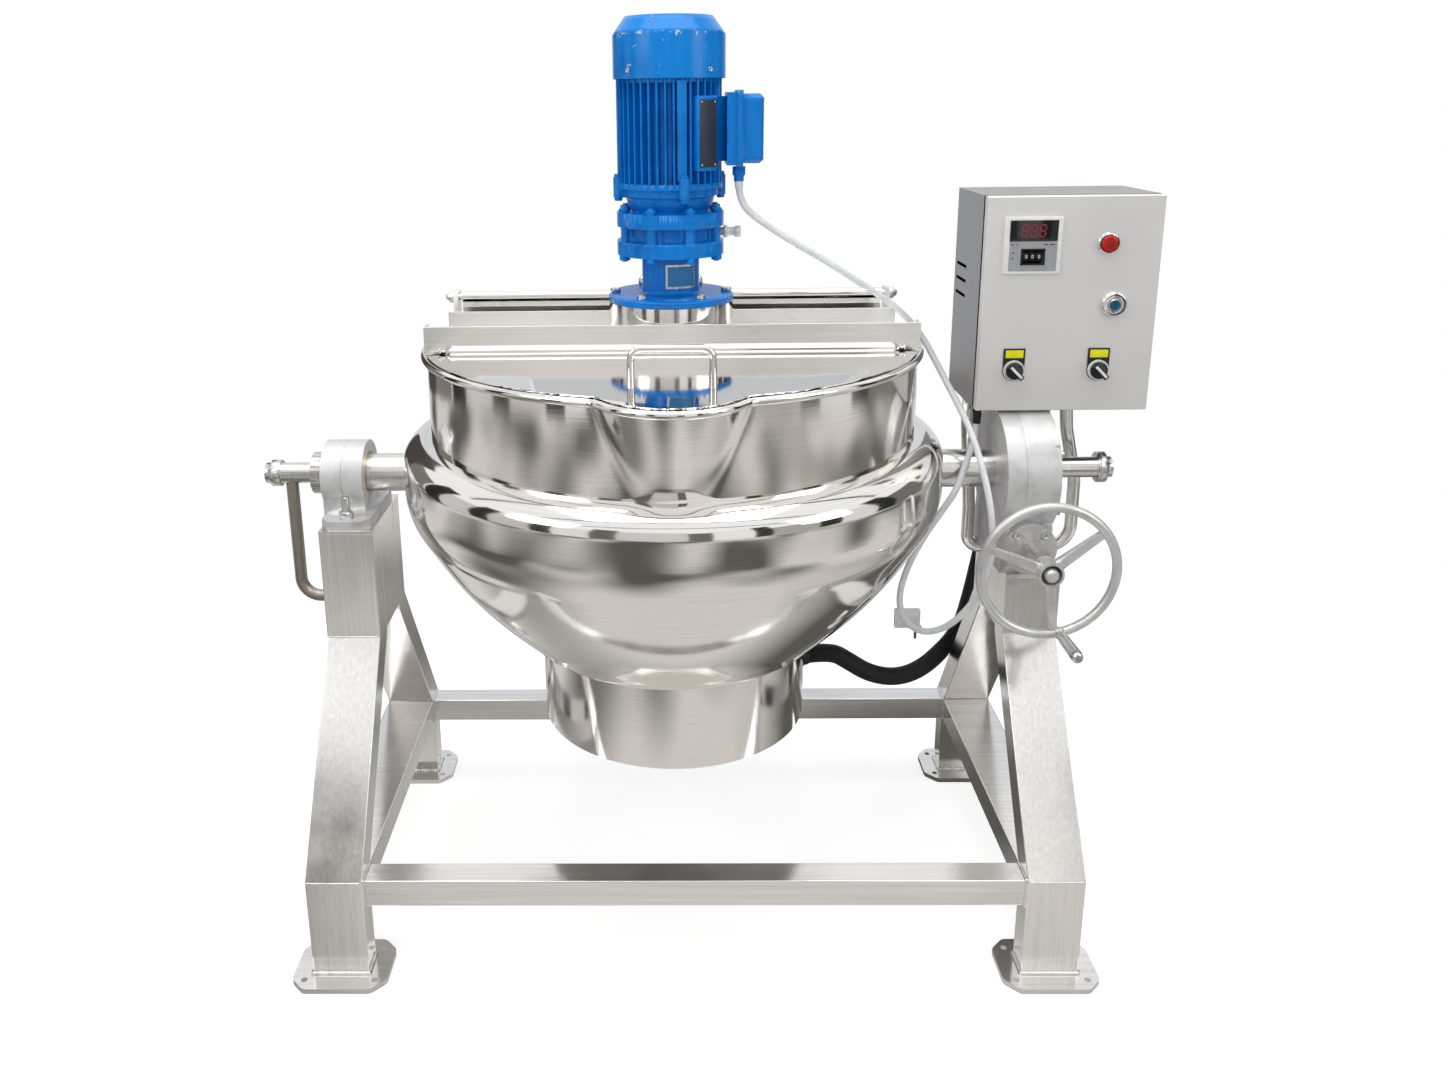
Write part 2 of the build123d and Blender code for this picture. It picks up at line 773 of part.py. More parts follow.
def handwheel():
    rim = Torus(handwheel_radius, handwheel_bar)
    hub = Pos(0, 0, -15) * Cylinder(hub_radius, 30, align=middle)
    shape = rim + hub
    for angle in spoke_angles:
        near = Plane((worm_shaft_radius + 0.5, 0, 0), x_dir=(0, 1, 0), z_dir=(1, 0, 0)) * Rectangle(15, 10)
        far = Plane((handwheel_radius, 0, 0), x_dir=(0, 1, 0), z_dir=(1, 0, 0)) * Rectangle(10, 7)
        shape += Rot(0, 0, angle) * loft(Sketch() + [near, far])
    turn = math.radians(grip_angle)
    pin_x = handwheel_radius * math.cos(turn)
    pin_z = handwheel_radius * math.sin(turn)
    boss_top = handwheel_bar + 1.5
    boss = post(8.2, -1, boss_top) + post(grip_pin_radius, boss_top - 1, grip_length - 8)
    shape += Pos(pin_x, pin_z, 0) * boss
    shape -= Cylinder(worm_shaft_radius, 60)
    plane = Plane((worm_x, handwheel_y, worm_z), x_dir=(1, 0, 0), z_dir=(0, -1, 0))
    return plane.location * shape


def hub_nut():
    """Cap screw and washer that hold the wheel on the worm shaft."""
    front = handwheel_y - 15
    washer = shaft_y(9.5, front - 2, handwheel_y - 8, worm_x, worm_z)
    return washer + shaft_y(7, front - 5, front - 2, worm_x, worm_z)


def grip():
    turn = math.radians(grip_angle)
    x = worm_x + handwheel_radius * math.cos(turn)
    z = worm_z + handwheel_radius * math.sin(turn)
    base = handwheel_bar + 1.5 + loose
    shape = turned((0, base), (6.6, base), (grip_radius - 0.6, base + 18), (grip_radius, grip_length - 10),
                   (grip_radius - 1, grip_length - 2.5), (5, grip_length), (0, grip_length))
    shape -= post(grip_pin_radius + running, base, grip_length - 7.5)
    plane = Plane((x, handwheel_y, z), x_dir=(1, 0, 0), z_dir=(0, -1, 0))
    return plane.location * shape


# Bridge, hinges and lids

deck_bottom = rim_z + rim_bead
deck_top = deck_bottom + deck_thick
band_half = (lid_radius ** 2 - bridge_half ** 2) ** 0.5


def bridge():
    """Channel across the rim: deck, tall front band and low rear flange."""
    deck = extrude(Circle(lid_radius) & Rectangle(3 * lid_radius, 2 * bridge_half), deck_thick)
    shape = Pos(0, 0, deck_bottom) * deck
    shape += block(-band_half, band_half, -bridge_half, -bridge_half + deck_thick, deck_bottom, band_top)
    shape += block(-band_half, band_half, bridge_half - deck_thick, bridge_half, deck_bottom, rear_flange_top)
    for side in (-1, 1):
        ends = sorted((side * band_half, side * (band_half - deck_thick)))
        shape += block(ends[0], ends[1], -bridge_half, -bridge_half + 26, deck_bottom, band_top)
    shape -= post(agitator_shaft_radius + 8, deck_bottom, deck_top)
    return kettle(shape)


def pedestal():
    """Round seat of the drive on the bridge."""
    shape = post(pedestal_radius, deck_top, pedestal_top)
    shape -= post(pedestal_radius - 4, deck_top, pedestal_top - 8)
    shape -= post(agitator_shaft_radius + 3, deck_top, pedestal_top)
    return kettle(shape)


def shaft_bush():
    """Guide of the agitator shaft in the bridge deck."""
    shape = post(agitator_shaft_radius + 8, deck_bottom - 10, deck_top)
    shape += post(agitator_shaft_radius + 14, deck_top, deck_top + 4)
    shape -= post(agitator_shaft_radius + running, deck_bottom - 10, deck_top + 4)
    return kettle(shape)


lug_half = 309.0


def front_hinge():
    """Pin of the front lid with its two lugs on the band."""
    pin = shaft_x(front_pin_radius, -lug_half - 9, lug_half + 9, front_pin_y, front_pin_z)
    for side in (-1, 1):
        ends = sorted((side * (lug_half - 3), side * (lug_half + 3)))
        pin += block(ends[0], ends[1], front_pin_y - 4, -bridge_half, deck_bottom + 1, front_pin_z + 4)
        caps = sorted((side * (lug_half + 9), side * (lug_half + 12)))
        pin += shaft_x(front_pin_radius + 2.5, caps[0], caps[1], front_pin_y, front_pin_z)
    return kettle(pin)


def lid_handle(end):
    """Bent rod handle, which stands on its lid."""
    bottom = deck_bottom + lid_gap + lid_thick
    y = end * handle_y
    points = [(-handle_half, y, bottom), (-handle_half, y, bottom + handle_height),
              (handle_half, y, bottom + handle_height), (handle_half, y, bottom)]
    return kettle(bar(points, 13, handle_radius))


def lid_plate(end, start):
    """Half-moon sheet from its hinge to the rim."""
    bottom = deck_bottom + lid_gap
    plan = opening_outline(lid_radius - pot_radius - 1.5) if end < 0 else Circle(lid_radius)
    far = 2 * lid_radius
    keep = Pos(0, end * (start + far / 2)) * Rectangle(2 * far, far)
    return Pos(0, 0, bottom) * extrude(plan & keep, lid_thick)


def front_lid():
    shape = lid_plate(-1, -front_pin_y)
    half = lug_half - 3 - loose
    shape -= block(-400, -half, front_pin_y - 8, 0, 0, 1000)
    shape -= block(half, 400, front_pin_y - 8, 0, 0, 1000)
    shape += shaft_x(front_knuckle_radius, -half, half, front_pin_y, front_pin_z)
    shape -= shaft_x(front_pin_radius + running, -half, half, front_pin_y, front_pin_z)
    return kettle(shape)


knuckle_half = post_x - post_thick / 2 - loose


def rear_lid():
    start = rear_rod_y - 2
    shape = lid_plate(1, start)
    bottom = deck_bottom + lid_gap
    clear = 326 - 3 * loose
    shape -= block(-400, -clear, 0, rear_rod_y + 22, 0, 1000)
    shape -= block(clear, 400, 0, rear_rod_y + 22, 0, 1000)
    shape += block(-clear, clear, start, start + lid_thick, bottom, rear_rod_z)
    shape += shaft_x(rear_knuckle_radius, -clear, clear, rear_rod_y, rear_rod_z)
    shape -= shaft_x(rear_rod_radius + running, -clear, clear, rear_rod_y, rear_rod_z)
    return kettle(shape)


def rear_hinge_posts():
    """Two uprights on the rim that carry the rod of the rear lid."""
    posts = []
    for side in (-1, 1):
        near = side * (post_x - post_thick / 2)
        ends = sorted((near, side * (post_x + post_thick / 2)))
        shape = block(ends[0], ends[1], rear_rod_y - 12, rear_rod_y + 12, deck_top, rear_rod_z + 9)
        foot = sorted((near, side * 400))
        plate = block(foot[0], foot[1], bridge_half, rear_rod_y + 12, deck_bottom, deck_top)
        shape += plate & post(lid_radius, deck_bottom, deck_top)
        shape -= shaft_x(rear_rod_radius, -400, 400, rear_rod_y, rear_rod_z)
        posts.append(kettle(shape))
    return posts


def rear_hinge_rod():
    """Rod with a domed nut at each end."""
    end = post_x + post_thick / 2
    rod = shaft_x(rear_rod_radius, -end, end, rear_rod_y, rear_rod_z)
    for side in (-1, 1):
        ends = sorted((side * end, side * (end + 7)))
        nut = shaft_x(9, ends[0], ends[1], rear_rod_y, rear_rod_z)
        dome = Pos(side * (end + 7), rear_rod_y, rear_rod_z) * Sphere(6.5)
        rod += nut + (dome - block(-end, end, 0, 200, 800, 1000))
    return kettle(rod)


# Drive

def reducer_base():
    """Output housing: round foot flange, neck and lower flange."""
    shape = turned(
        (0, pedestal_top), (pedestal_radius, pedestal_top), (pedestal_radius, base_flange_top - 3),
        (pedestal_radius - 3, base_flange_top), (neck_radius + 5, base_flange_top),
        (neck_radius, base_flange_top + 5), (neck_radius, lower_flange_bottom - 6),
        (neck_radius + 6, lower_flange_bottom), (flange_radius, lower_flange_bottom),
        (flange_radius, lower_flange_top), (0, lower_flange_top))
    shape -= post(agitator_shaft_radius + running, pedestal_top, lower_flange_top - 8)
    for x, y in base_bolt_places():
        shape -= post(4, pedestal_top, base_flange_top, x, y)
    for x, y in stud_places():
        shape -= post(4, lower_flange_bottom, lower_flange_top, x, y)
    return kettle(shape)


def base_bolt_places():
    places = []
    for number in range(6):
        turn = math.radians(60 * number)
        places.append((80 * math.cos(turn), 80 * math.sin(turn)))
    return places


stud_count = 8


def stud_places():
    places = []
    for number in range(stud_count):
        turn = 2 * math.pi * (number + 0.5) / stud_count
        places.append((70 * math.cos(turn), 70 * math.sin(turn)))
    return places


def base_bolts():
    bolts = []
    for x, y in base_bolt_places():
        bolt = post(4, pedestal_top, base_flange_top) + Pos(0, 0, base_flange_top) * hexagon(13, 5.5)
        bolts.append(kettle(Pos(x, y, 0) * bolt))
    return bolts


def ring_housing():
    """Pin ring between the flanges, with square pockets round it."""
    shape = post(ring_radius, lower_flange_top, upper_flange_bottom)
    shape += post(flange_radius, lower_flange_top, lower_flange_top + 4)
    shape += post(flange_radius, upper_flange_bottom - 4, upper_flange_bottom)
    for number in range(stud_count):
        angle = 360 * number / stud_count
        pocket = block(ring_radius - 5, ring_radius + 20, -13, 13, lower_flange_top + 6, upper_flange_bottom - 6)
        shape -= Rot(0, 0, angle) * pocket
    for x, y in stud_places():
        shape += post(7, lower_flange_top, upper_flange_bottom, x * 0.97, y * 0.97)
    for x, y in stud_places():
        shape -= post(4, lower_flange_top, upper_flange_bottom, x, y)
    return kettle(shape)


def reducer_studs():
    """Through studs of the two flanges with a nut at each end."""
    studs = []
    for x, y in stud_places():
        stud = post(4, lower_flange_bottom - 8, upper_flange_top + 9)
        stud += Pos(0, 0, upper_flange_top) * hexagon(13, 6.5)
        stud += Pos(0, 0, lower_flange_bottom) * Rot(180, 0, 0) * hexagon(13, 6.5)
        studs.append(kettle(Pos(x, y, 0) * stud))
    return studs


lug_angles = (15, 105, 195, 285)
lug_radius = 75.0


def lug(angle, bottom, top):
    """Rounded ear for a motor bolt."""
    ear = block(50, lug_radius, -7, 7, bottom, top) + post(7, bottom, top, lug_radius, 0)
    return Rot(0, 0, angle) * ear


def motor_shield():
    """Upper flange and bowl-shaped end shield of the motor."""
    shape = turned(
        (0, upper_flange_bottom), (flange_radius, upper_flange_bottom), (flange_radius, upper_flange_top),
        (54, upper_flange_top), (60, upper_flange_top + 9), (63, upper_flange_top + 21),
        (68, lug_bottom - 6), (68, lug_bottom + 4), (0, lug_bottom + 4))
    for angle in lug_angles:
        shape += lug(angle, lug_bottom - 8, lug_bottom + 4)
    for x, y in stud_places():
        shape -= post(4, upper_flange_bottom, upper_flange_top, x, y)
    shape -= post(motor_shaft_radius + running, upper_flange_bottom + 8, lug_bottom + 4)
    return kettle(shape)


def motor_stator():
    """Finned housing with lugs at its foot and a flat under the terminal box."""
    bottom = lug_bottom + 4
    plan = Circle(fin_root_radius)
    for number in range(fin_count):
        angle = 360 * (number + 0.5) / fin_count
        if 13 < angle < 347:
            reach = stator_radius - fin_root_radius + 4
            fin = Pos(fin_root_radius + reach / 2 - 4, 0) * Rectangle(reach, fin_thick)
            plan += Rot(0, 0, angle) * fin
    shape = extrude(Pos(0, 0, bottom) * plan, stator_top - bottom)
    shape += post(stator_radius, bottom, lug_top - 4)
    shape += post(stator_radius - 2, stator_top - 10, stator_top)
    for angle in lug_angles:
        shape += lug(angle, bottom, lug_top + 4)
        shape -= Rot(0, 0, angle) * post(7, lug_top + 4, lug_top + 12, lug_radius, 0)
    shape += block(50, terminal_left, -30, 30, terminal_bottom + 8, terminal_top - 8)
    shape -= post(rotor_radius + loose, bottom, stator_top - 8)
    shape -= post(motor_shaft_radius + running, bottom, stator_top)
    return kettle(shape)


terminal_left = 78.0
terminal_joint = 92.0
terminal_right = 128.0
terminal_half = 42.0
terminal_y = -12.0
terminal_bottom = 1120.0
terminal_top = 1223.0


def terminal_box():
    """Junction box: base on the housing, and lid with a rim."""
    low = terminal_y - terminal_half
    high = terminal_y + terminal_half
    base = block(terminal_left, terminal_joint, low + 3, high - 3, terminal_bottom + 3, terminal_top - 3)
    base -= block(terminal_left + 3, terminal_joint, low + 6, high - 6, terminal_bottom + 6, terminal_top - 6)
    base = kettle(base)
    return base


def terminal_lid():
    low = terminal_y - terminal_half
    high = terminal_y + terminal_half
    rim = block(terminal_joint, terminal_joint + 8, low, high, terminal_bottom, terminal_top)
    rim = fillet(rim.edges().filter_by(Axis.X), 8)
    lid = block(terminal_joint + 8, terminal_right, low + 5, high - 5, terminal_bottom + 5, terminal_top - 5)
    lid = fillet(lid.edges().filter_by(Axis.X), 10)
    lid = chamfer(lid.faces().sort_by(Axis.X)[-1].edges(), 5)
    shape = rim + lid
    shape -= block(terminal_joint, terminal_right - 4, low + 9, high - 9, terminal_bottom + 9, terminal_top - 9)
    return kettle(shape)


def fan_cowl():
    """Sheet cover of the fan with an air grille on top."""
    out = [(cowl_radius, stator_top - 4), (cowl_radius, cowl_shoulder), (cowl_top_radius, cowl_top), (0, cowl_top)]
    thin = cowl_wall
    inside = [(0, cowl_top - thin), (cowl_top_radius - 1, cowl_top - thin),
              (cowl_radius - thin, cowl_shoulder - 0.6), (cowl_radius - thin, stator_top - 4)]
    shape = turned(*out, *inside)
    spokes = Rectangle(160, 7) + Rot(0, 0, 60) * Rectangle(160, 7) + Rot(0, 0, 120) * Rectangle(160, 7)
    for radius in (18, 28, 38, 48):
        slot = Circle(radius + 3) - Circle(radius - 3) - spokes
        shape -= extrude(Pos(0, 0, cowl_top - 5) * slot, 10)
    for angle in (45, 135, 225, 315):
        boss = block(stator_radius - 6, cowl_radius - 1, -4, 4, stator_top, stator_top + 8)
        shape += Rot(0, 0, angle) * boss
    return kettle(shape)


def motor_bolts():
    """Bolts through the lugs of the stator and the end shield."""
    bolts = []
    for angle in lug_angles:
        for bolt in (Pos(lug_radius, 0, lug_top + 4) * hexagon(10, 4.5),
                     Pos(lug_radius, 0, lug_bottom - 8) * Rot(180, 0, 0) * hexagon(10, 4.5)):
            bolts.append(kettle(Rot(0, 0, angle) * bolt))
    return bolts


def oil_filler():
    """Elbow and breather plug on the side of the reducer ring."""
    z = (lower_flange_top + upper_flange_bottom) / 2
    shape = shaft_x(6, ring_radius - 5, ring_radius + 26, z=z)
    shape += shaft_x(9, ring_radius + 10, ring_radius + 15, z=z)
    shape += shaft_x(8, ring_radius + 26, ring_radius + 34, z=z)
    return kettle(shape)


def rotor():
    shape = post(motor_shaft_radius, upper_flange_bottom + 10, stator_top + 34)
    shape += post(rotor_radius, lug_top + 22, stator_top - 30)
    return kettle(shape)


def cooling_fan():
    shape = post(15, stator_top + 12, stator_top + 34)
    shape += post(64, stator_top + 12, stator_top + 14)
    for number in range(8):
        blade = block(12, 66, -1, 1, stator_top + 13, stator_top + 44)
        shape += Rot(0, 0, 45 * number) * blade
    shape -= post(motor_shaft_radius, stator_top, stator_top + 40)
    return kettle(shape)


# Agitator

anchor_gap = 14.0
anchor_wide = 34.0
anchor_half = 5.0
anchor_top = 800.0
agitator_bottom = 500.0


def agitator_shaft():
    return kettle(post(agitator_shaft_radius, agitator_bottom, lower_flange_top - 10))


def anchor_frame():
    """Anchor of flat bar that follows the wall and the bottom of the pot."""
    def region(gap):
        a = pot_radius - gap
        b = pot_depth - gap
        lower = (Pos(0, equator_z) * Ellipse(a, b)) & (Pos(0, equator_z - b / 2) * Rectangle(2 * a, b))
        return lower + Pos(0, (equator_z + anchor_top) / 2) * Rectangle(2 * a, anchor_top - equator_z)
    plan = region(anchor_gap) - region(anchor_gap + anchor_wide)
    plan += Pos(0, 640) * Rectangle(2 * (pot_radius - anchor_gap) - 20, 30)
    plan += Pos(0, agitator_bottom - 6) * Rectangle(60, 40)
    shape = extrude(Plane.XZ * plan, anchor_half, both=True)
    shape += post(agitator_shaft_radius + 9, 615, 665)
    shape -= post(agitator_shaft_radius, agitator_bottom, 900)
    return kettle(shape)


def scrapers():
    """Plastic blades along the anchor's outer edge."""
    strips = []
    gap = 5.0
    for side in (-1, 1):
        for low, high in ((690, 735), (745, 790)):
            ends = sorted((side * (pot_radius - gap), side * (pot_radius - anchor_gap)))
            strips.append(kettle(block(ends[0], ends[1], -4, 4, low, high)))
    return strips


# Control box

def box_body():
    """Sheet case with a gutter and lip round its open front."""
    shape = block(box_left, box_right, box_edge, box_back, box_bottom, box_top)
    thin = box_sheet
    shape -= block(box_left + thin, box_right - thin, box_edge + thin, box_back - thin,
                   box_bottom + thin, box_top - thin)
    lip_front = box_edge - lip_depth + thin
    shape += block(box_left + gutter - thin, box_right - gutter + thin, lip_front, box_edge + thin,
                   box_bottom + gutter - thin, box_top - gutter + thin)
    shape -= block(box_left + gutter, box_right - gutter, lip_front, box_edge + thin,
                   box_bottom + gutter, box_top - gutter)
    for number in range(3):
        z = 960 - 22 * number
        shape -= block(box_left, box_left + thin, 72, 128, z, z + 5)
    shape -= post(6.5, box_bottom, box_bottom + thin, *cable_entry)
    shape -= post(conduit_radius, box_bottom, box_bottom + thin, *conduit_entry)
    shape += hinge_knuckles()
    return shape


hinge_heights = (box_bottom + 45, box_top - 45)


def hinge_knuckles():
    arms = None
    for z in hinge_heights:
        arm = post(1.8, z - 4.5, z + 4.5, box_hinge_x, box_hinge_y)
        arm += block(box_hinge_x, box_left + gutter - box_sheet, box_hinge_y - 1.8, box_hinge_y + 1.8,
                     z - 4.5, z + 4.5)
        arm += post(1.2, z - 8, z + 8, box_hinge_x, box_hinge_y)
        arms = arm if arms is None else arms + arm
    return arms


def face_point(from_left, from_top):
    """Place on the door from its upper left corner."""
    return (box_left + from_left, box_top - from_top)


controller_place = face_point(66, 69)
lamp_place = face_point(172, 67)
lock_place = face_point(187, 154)
switch_places = (face_point(51, 249), face_point(172, 249))
controller_half = 40.0
wheel_pitch = 9.0


def box_door():
    """Door tray with its hinge ears and the holes for what is mounted in it."""
    thin = box_sheet
    back = box_front + door_depth
    shape = block(box_left, box_right, box_front, back, box_bottom, box_top)
    shape -= block(box_left + thin, box_right - thin, box_front + thin, back, box_bottom + thin, box_top - thin)
    for z in hinge_heights:
        for low in (z - 7.5, z + 5.0):
            ear = post(2.4, low, low + 2.5, box_hinge_x, box_hinge_y)
            ear += block(box_left + thin, box_hinge_x, box_hinge_y - 2.4, back, low, low + 2.5)
            shape += ear
        shape -= post(1.25, z - 9, z + 9, box_hinge_x, box_hinge_y)
    x, z = controller_place
    shape -= block(x - 34, x + 34, box_front, box_front + thin, z - 34, z + 34)
    shape -= shaft_y(11, box_front, box_front + thin, *lamp_place)
    shape -= shaft_y(9 + running, box_front, box_front + thin, *lock_place)
    for place in switch_places:
        shape -= shaft_y(11, box_front, box_front + thin, *place)
    return shape


def controller():
    """Panel meter: bezel, body behind the door, two windows and a slot for the number wheels."""
    x, z = controller_place
    half = controller_half
    bezel = block(x - half, x + half, box_front - 5, box_front, z - half, z + half)
    bezel = chamfer(bezel.faces().sort_by(Axis.Y)[0].edges(), 1.5)
    shape = bezel + block(x - 34, x + 34, box_front, box_front + 70, z - 34, z + 34)
    shape -= block(x - 34, x + 30, box_front - 5, box_front - 4, z + 3, z + 34)
    slot = 1.5 * wheel_pitch + 1
    shape -= block(x - slot, x + slot, box_front - 6, box_front + 14, z - 26, z - 6)
    return shape


number_wheel_radius = 9.0


def number_wheel(index):
    x, z = controller_place
    middle_x = x + (index - 1) * wheel_pitch
    wheel = shaft_x(number_wheel_radius, middle_x - 3.6, middle_x + 3.6, number_wheel_y, z - 16)
    for number in range(10):
        notch = block(middle_x - 4, middle_x + 4, -0.8, 0.8, number_wheel_radius - 0.8, number_wheel_radius + 1)
        wheel -= Pos(0, number_wheel_y, z - 16) * Rot(36 * number, 0, 0) * notch
    return wheel - shaft_x(1.5 + running, middle_x - 5, middle_x + 5, number_wheel_y, z - 16)


number_wheel_y = box_front + 4.5


def number_wheel_pin():
    x, z = controller_place
    slot = 1.5 * wheel_pitch + 1
    return shaft_x(1.5, x - slot, x + slot, number_wheel_y, z - 16)


def lamp():
    x, z = lamp_place
    shape = shaft_y(15, box_front - 3, box_front, x, z) + shaft_y(11, box_front, box_front + 30, x, z)
    lens = shaft_y(12, box_front - 9, box_front - 3, x, z)
    lens = fillet(lens.edges().filter_by(GeomType.CIRCLE).sort_by(Axis.Y)[0], 4)
    return shape + lens


def lock_rose():
    x, z = lock_place
    shape = shaft_y(18, box_front - 6, box_front, x, z)
    shape = fillet(shape.edges().filter_by(GeomType.CIRCLE).sort_by(Axis.Y)[0], 3)
    return shape - shaft_y(9 + running, box_front - 6, box_front, x, z)


cam_front = box_edge + box_sheet + loose


def lock_barrel():
    """Turning core of the door lock with its cam, stored unlocked."""
    x, z = lock_place
    shape = shaft_y(9, box_front - 7, cam_front, x, z)
    shape -= block(x - 1, x + 1, box_front - 8, box_front - 5, z - 6, z + 6)
    reach = box_right - gutter + 4 - x
    cam = block(x - 7, x + 7, cam_front, cam_front + 2.5, z - reach, z + 9)
    return shape + cam


def legend_plates():
    plates = []
    for x, z in switch_places:
        plate = block(x - 15.5, x + 15.5, box_front - 1.2, box_front, z - 16, z + 32)
        plates.append(plate - shaft_y(11, box_front - 2, box_front, x, z))
    return plates


def switch_body(place):
    x, z = place
    shape = shaft_y(14.5, box_front - 5, box_front - 1.2, x, z)
    shape += shaft_y(11, box_front - 1.2, box_front + 34, x, z)
    return shape - shaft_y(8 + running, box_front - 5, box_front + 10, x, z)


def switch_knob(place):
    """Round knob with a raised finger bar, turned a little to the left at rest."""
    x, z = place
    core = post(8, -9, 5) + post(12, 5.5, 9) + block(-3.4, 3.4, -12, 12, 9, 18)
    core += post(8, 5, 5.6)
    plane = Plane((x, box_front, z), x_dir=(1, 0, 0), z_dir=(0, -1, 0))
    return plane.location * Rot(0, 0, 45) * core


def mounting_plate():
    return block(box_left + 20, box_right - 20, box_back - 12, box_back - 9, box_bottom + 22, box_top - 22)


def box_components():
    """Terminal row, contactors and drive unit on the mounting plate, with four spacers behind it."""
    face = box_back - 12
    parts = [
        block(450, 520, face - 75, face, 935, 1040),
        block(540, 585, face - 70, face, 955, 1035),
        block(592, 637, face - 70, face, 955, 1035),
        block(450, 636, face - 35, face, 800, 830),
    ]
    for x in (box_left + 32, box_right - 32):
        for z in (box_bottom + 34, box_top - 34):
            parts.append(shaft_y(5, box_back - 9, box_back - box_sheet, x, z))
    return parts


def box_posts():
    """Two bent round bars that carry the box on the right column."""
    inner = leg_x - tube_wide / 2
    outer = leg_x + tube_wide / 2
    low = 520.0
    above = block(box_left - 50, box_right, 0, box_back, box_bottom, box_bottom + 60)
    left = bar([(431, post_y, box_bottom + 12), (431, post_y, 728), (441, post_y, 590), (441, post_y, low),
                (inner, post_y, low)], [60, 60, 20], post_radius)
    right = bar([(578, post_y, box_bottom + 12), (584, post_y, 712), (602, post_y, 632), (603, post_y, low),
                 (outer, post_y, low)], [60, 60, 35], post_radius)
    return [left - above, right - above]


# Cables

cable_entry = (430.0, 4.0)
conduit_entry = (492.0, 116.0)
motor_gland = (kettle_x + 96.0, -22.0)

cable_route = [
    (motor_gland[0], motor_gland[1], terminal_bottom - 20), (motor_gland[0], motor_gland[1], 1072),
    (99, -17, 1046), (148, -6, 1014), (205, 10, 980), (262, 30, 942), (314, 50, 906), (354, 66, 864),
    (381, 44, 812), (400, 6, 770), (409, -30, 745), (416, -60, 716), (422, -92, 680), (427, -116, 636),
    (428, -127, 588), (420, -130, 541), (399, -126, 498), (370, -118, 464), (338, -106, 451),
    (313, -90, 465), (309, -74, 496), (323, -60, 536), (346, -51, 578), (371, -49, 617),
    (392, -50, 652), (404, -38, 680), (417, -18, 700), (cable_entry[0], cable_entry[1], 722),
    (cable_entry[0], cable_entry[1], box_bottom - 14),
]

skirt_gland_angle = 16.0
conduit_z = 332.0
gland_reach = skirt_radius + 22


def beside_skirt(reach):
    """Point at a distance from the kettle axis, straight out of the skirt gland."""
    turn = math.radians(skirt_gland_angle)
    return (kettle_x + reach * math.cos(turn), reach * math.sin(turn), conduit_z)


conduit_route = [
    beside_skirt(gland_reach), beside_skirt(gland_reach + 44), (266, 92, 304), (306, 116, 268), (356, 142, 246),
    (404, 174, 244), (450, 217, 256), (486, 226, 302), (493, 206, 368), (492, 168, 438), (492, 138, 504),
    (492, 120, 586), (conduit_entry[0], conduit_entry[1], 680),
    (conduit_entry[0], conduit_entry[1], box_bottom - 16),
]


def bend_radii(points):
    """Largest arcs that the runs of a route allow."""
    radii = []
    for index in range(1, len(points) - 1):
        before = Vector(*points[index]) - Vector(*points[index - 1])
        after = Vector(*points[index + 1]) - Vector(*points[index])
        turn = math.radians(before.get_angle(after))
        radii.append(0.45 * min(before.length, after.length) / math.tan(turn / 2))
    return radii


def cord(points, radius, name):
    radii = bend_radii(points)
    path = FilletPolyline(*points, radius=radii)
    tube = sweep(Plane(path @ 0, z_dir=path % 0) * Circle(radius), path=path)
    smallest = min(radii)
    expected = math.pi * radius ** 2 * path.length
    print(f"{name}: length {path.length:.0f}, smallest bend {smallest:.0f}, volume ratio {tube.volume / expected:.4f}")
    print("  bends", [round(value) for value in radii])
    return tube


def motor_cable_gland():
    x, y = motor_gland
    shape = post(9, terminal_bottom - 12, terminal_bottom, x, y)
    shape += post(7, terminal_bottom - 20, terminal_bottom - 12, x, y)
    return shape


def box_cable_gland():
    x, y = cable_entry
    shape = post(7.5, box_bottom - 8, box_bottom, x, y) + post(6.5, box_bottom - 14, box_bottom + 10, x, y)
    return shape


def skirt_gland():
    reach = skirt_radius - 1
    shape = shaft_x(18, reach, gland_reach - 8, z=conduit_z) + shaft_x(16.5, gland_reach - 8, gland_reach, z=conduit_z)
    shape -= post(skirt_radius, skirt_bottom, skirt_top)
    return kettle(Rot(0, 0, skirt_gland_angle) * shape)


def box_conduit_gland():
    x, y = conduit_entry
    shape = post(18, box_bottom - 10, box_bottom, x, y) + post(16, box_bottom - 16, box_bottom - 10, x, y)
    return shape + post(conduit_radius, box_bottom, box_bottom + 6, x, y)


def cable_clip():
    """Snap-on tie clip, hanging on the lowest bend of the loop."""
    x, y, z = 318.0, -92.0, 466.0
    body = block(x - 15, x + 22, y + cable_radius + 0.3, y + cable_radius + 9, z - 16, z + 12)
    return body - cord(cable_route, cable_radius, "cable in its clip")


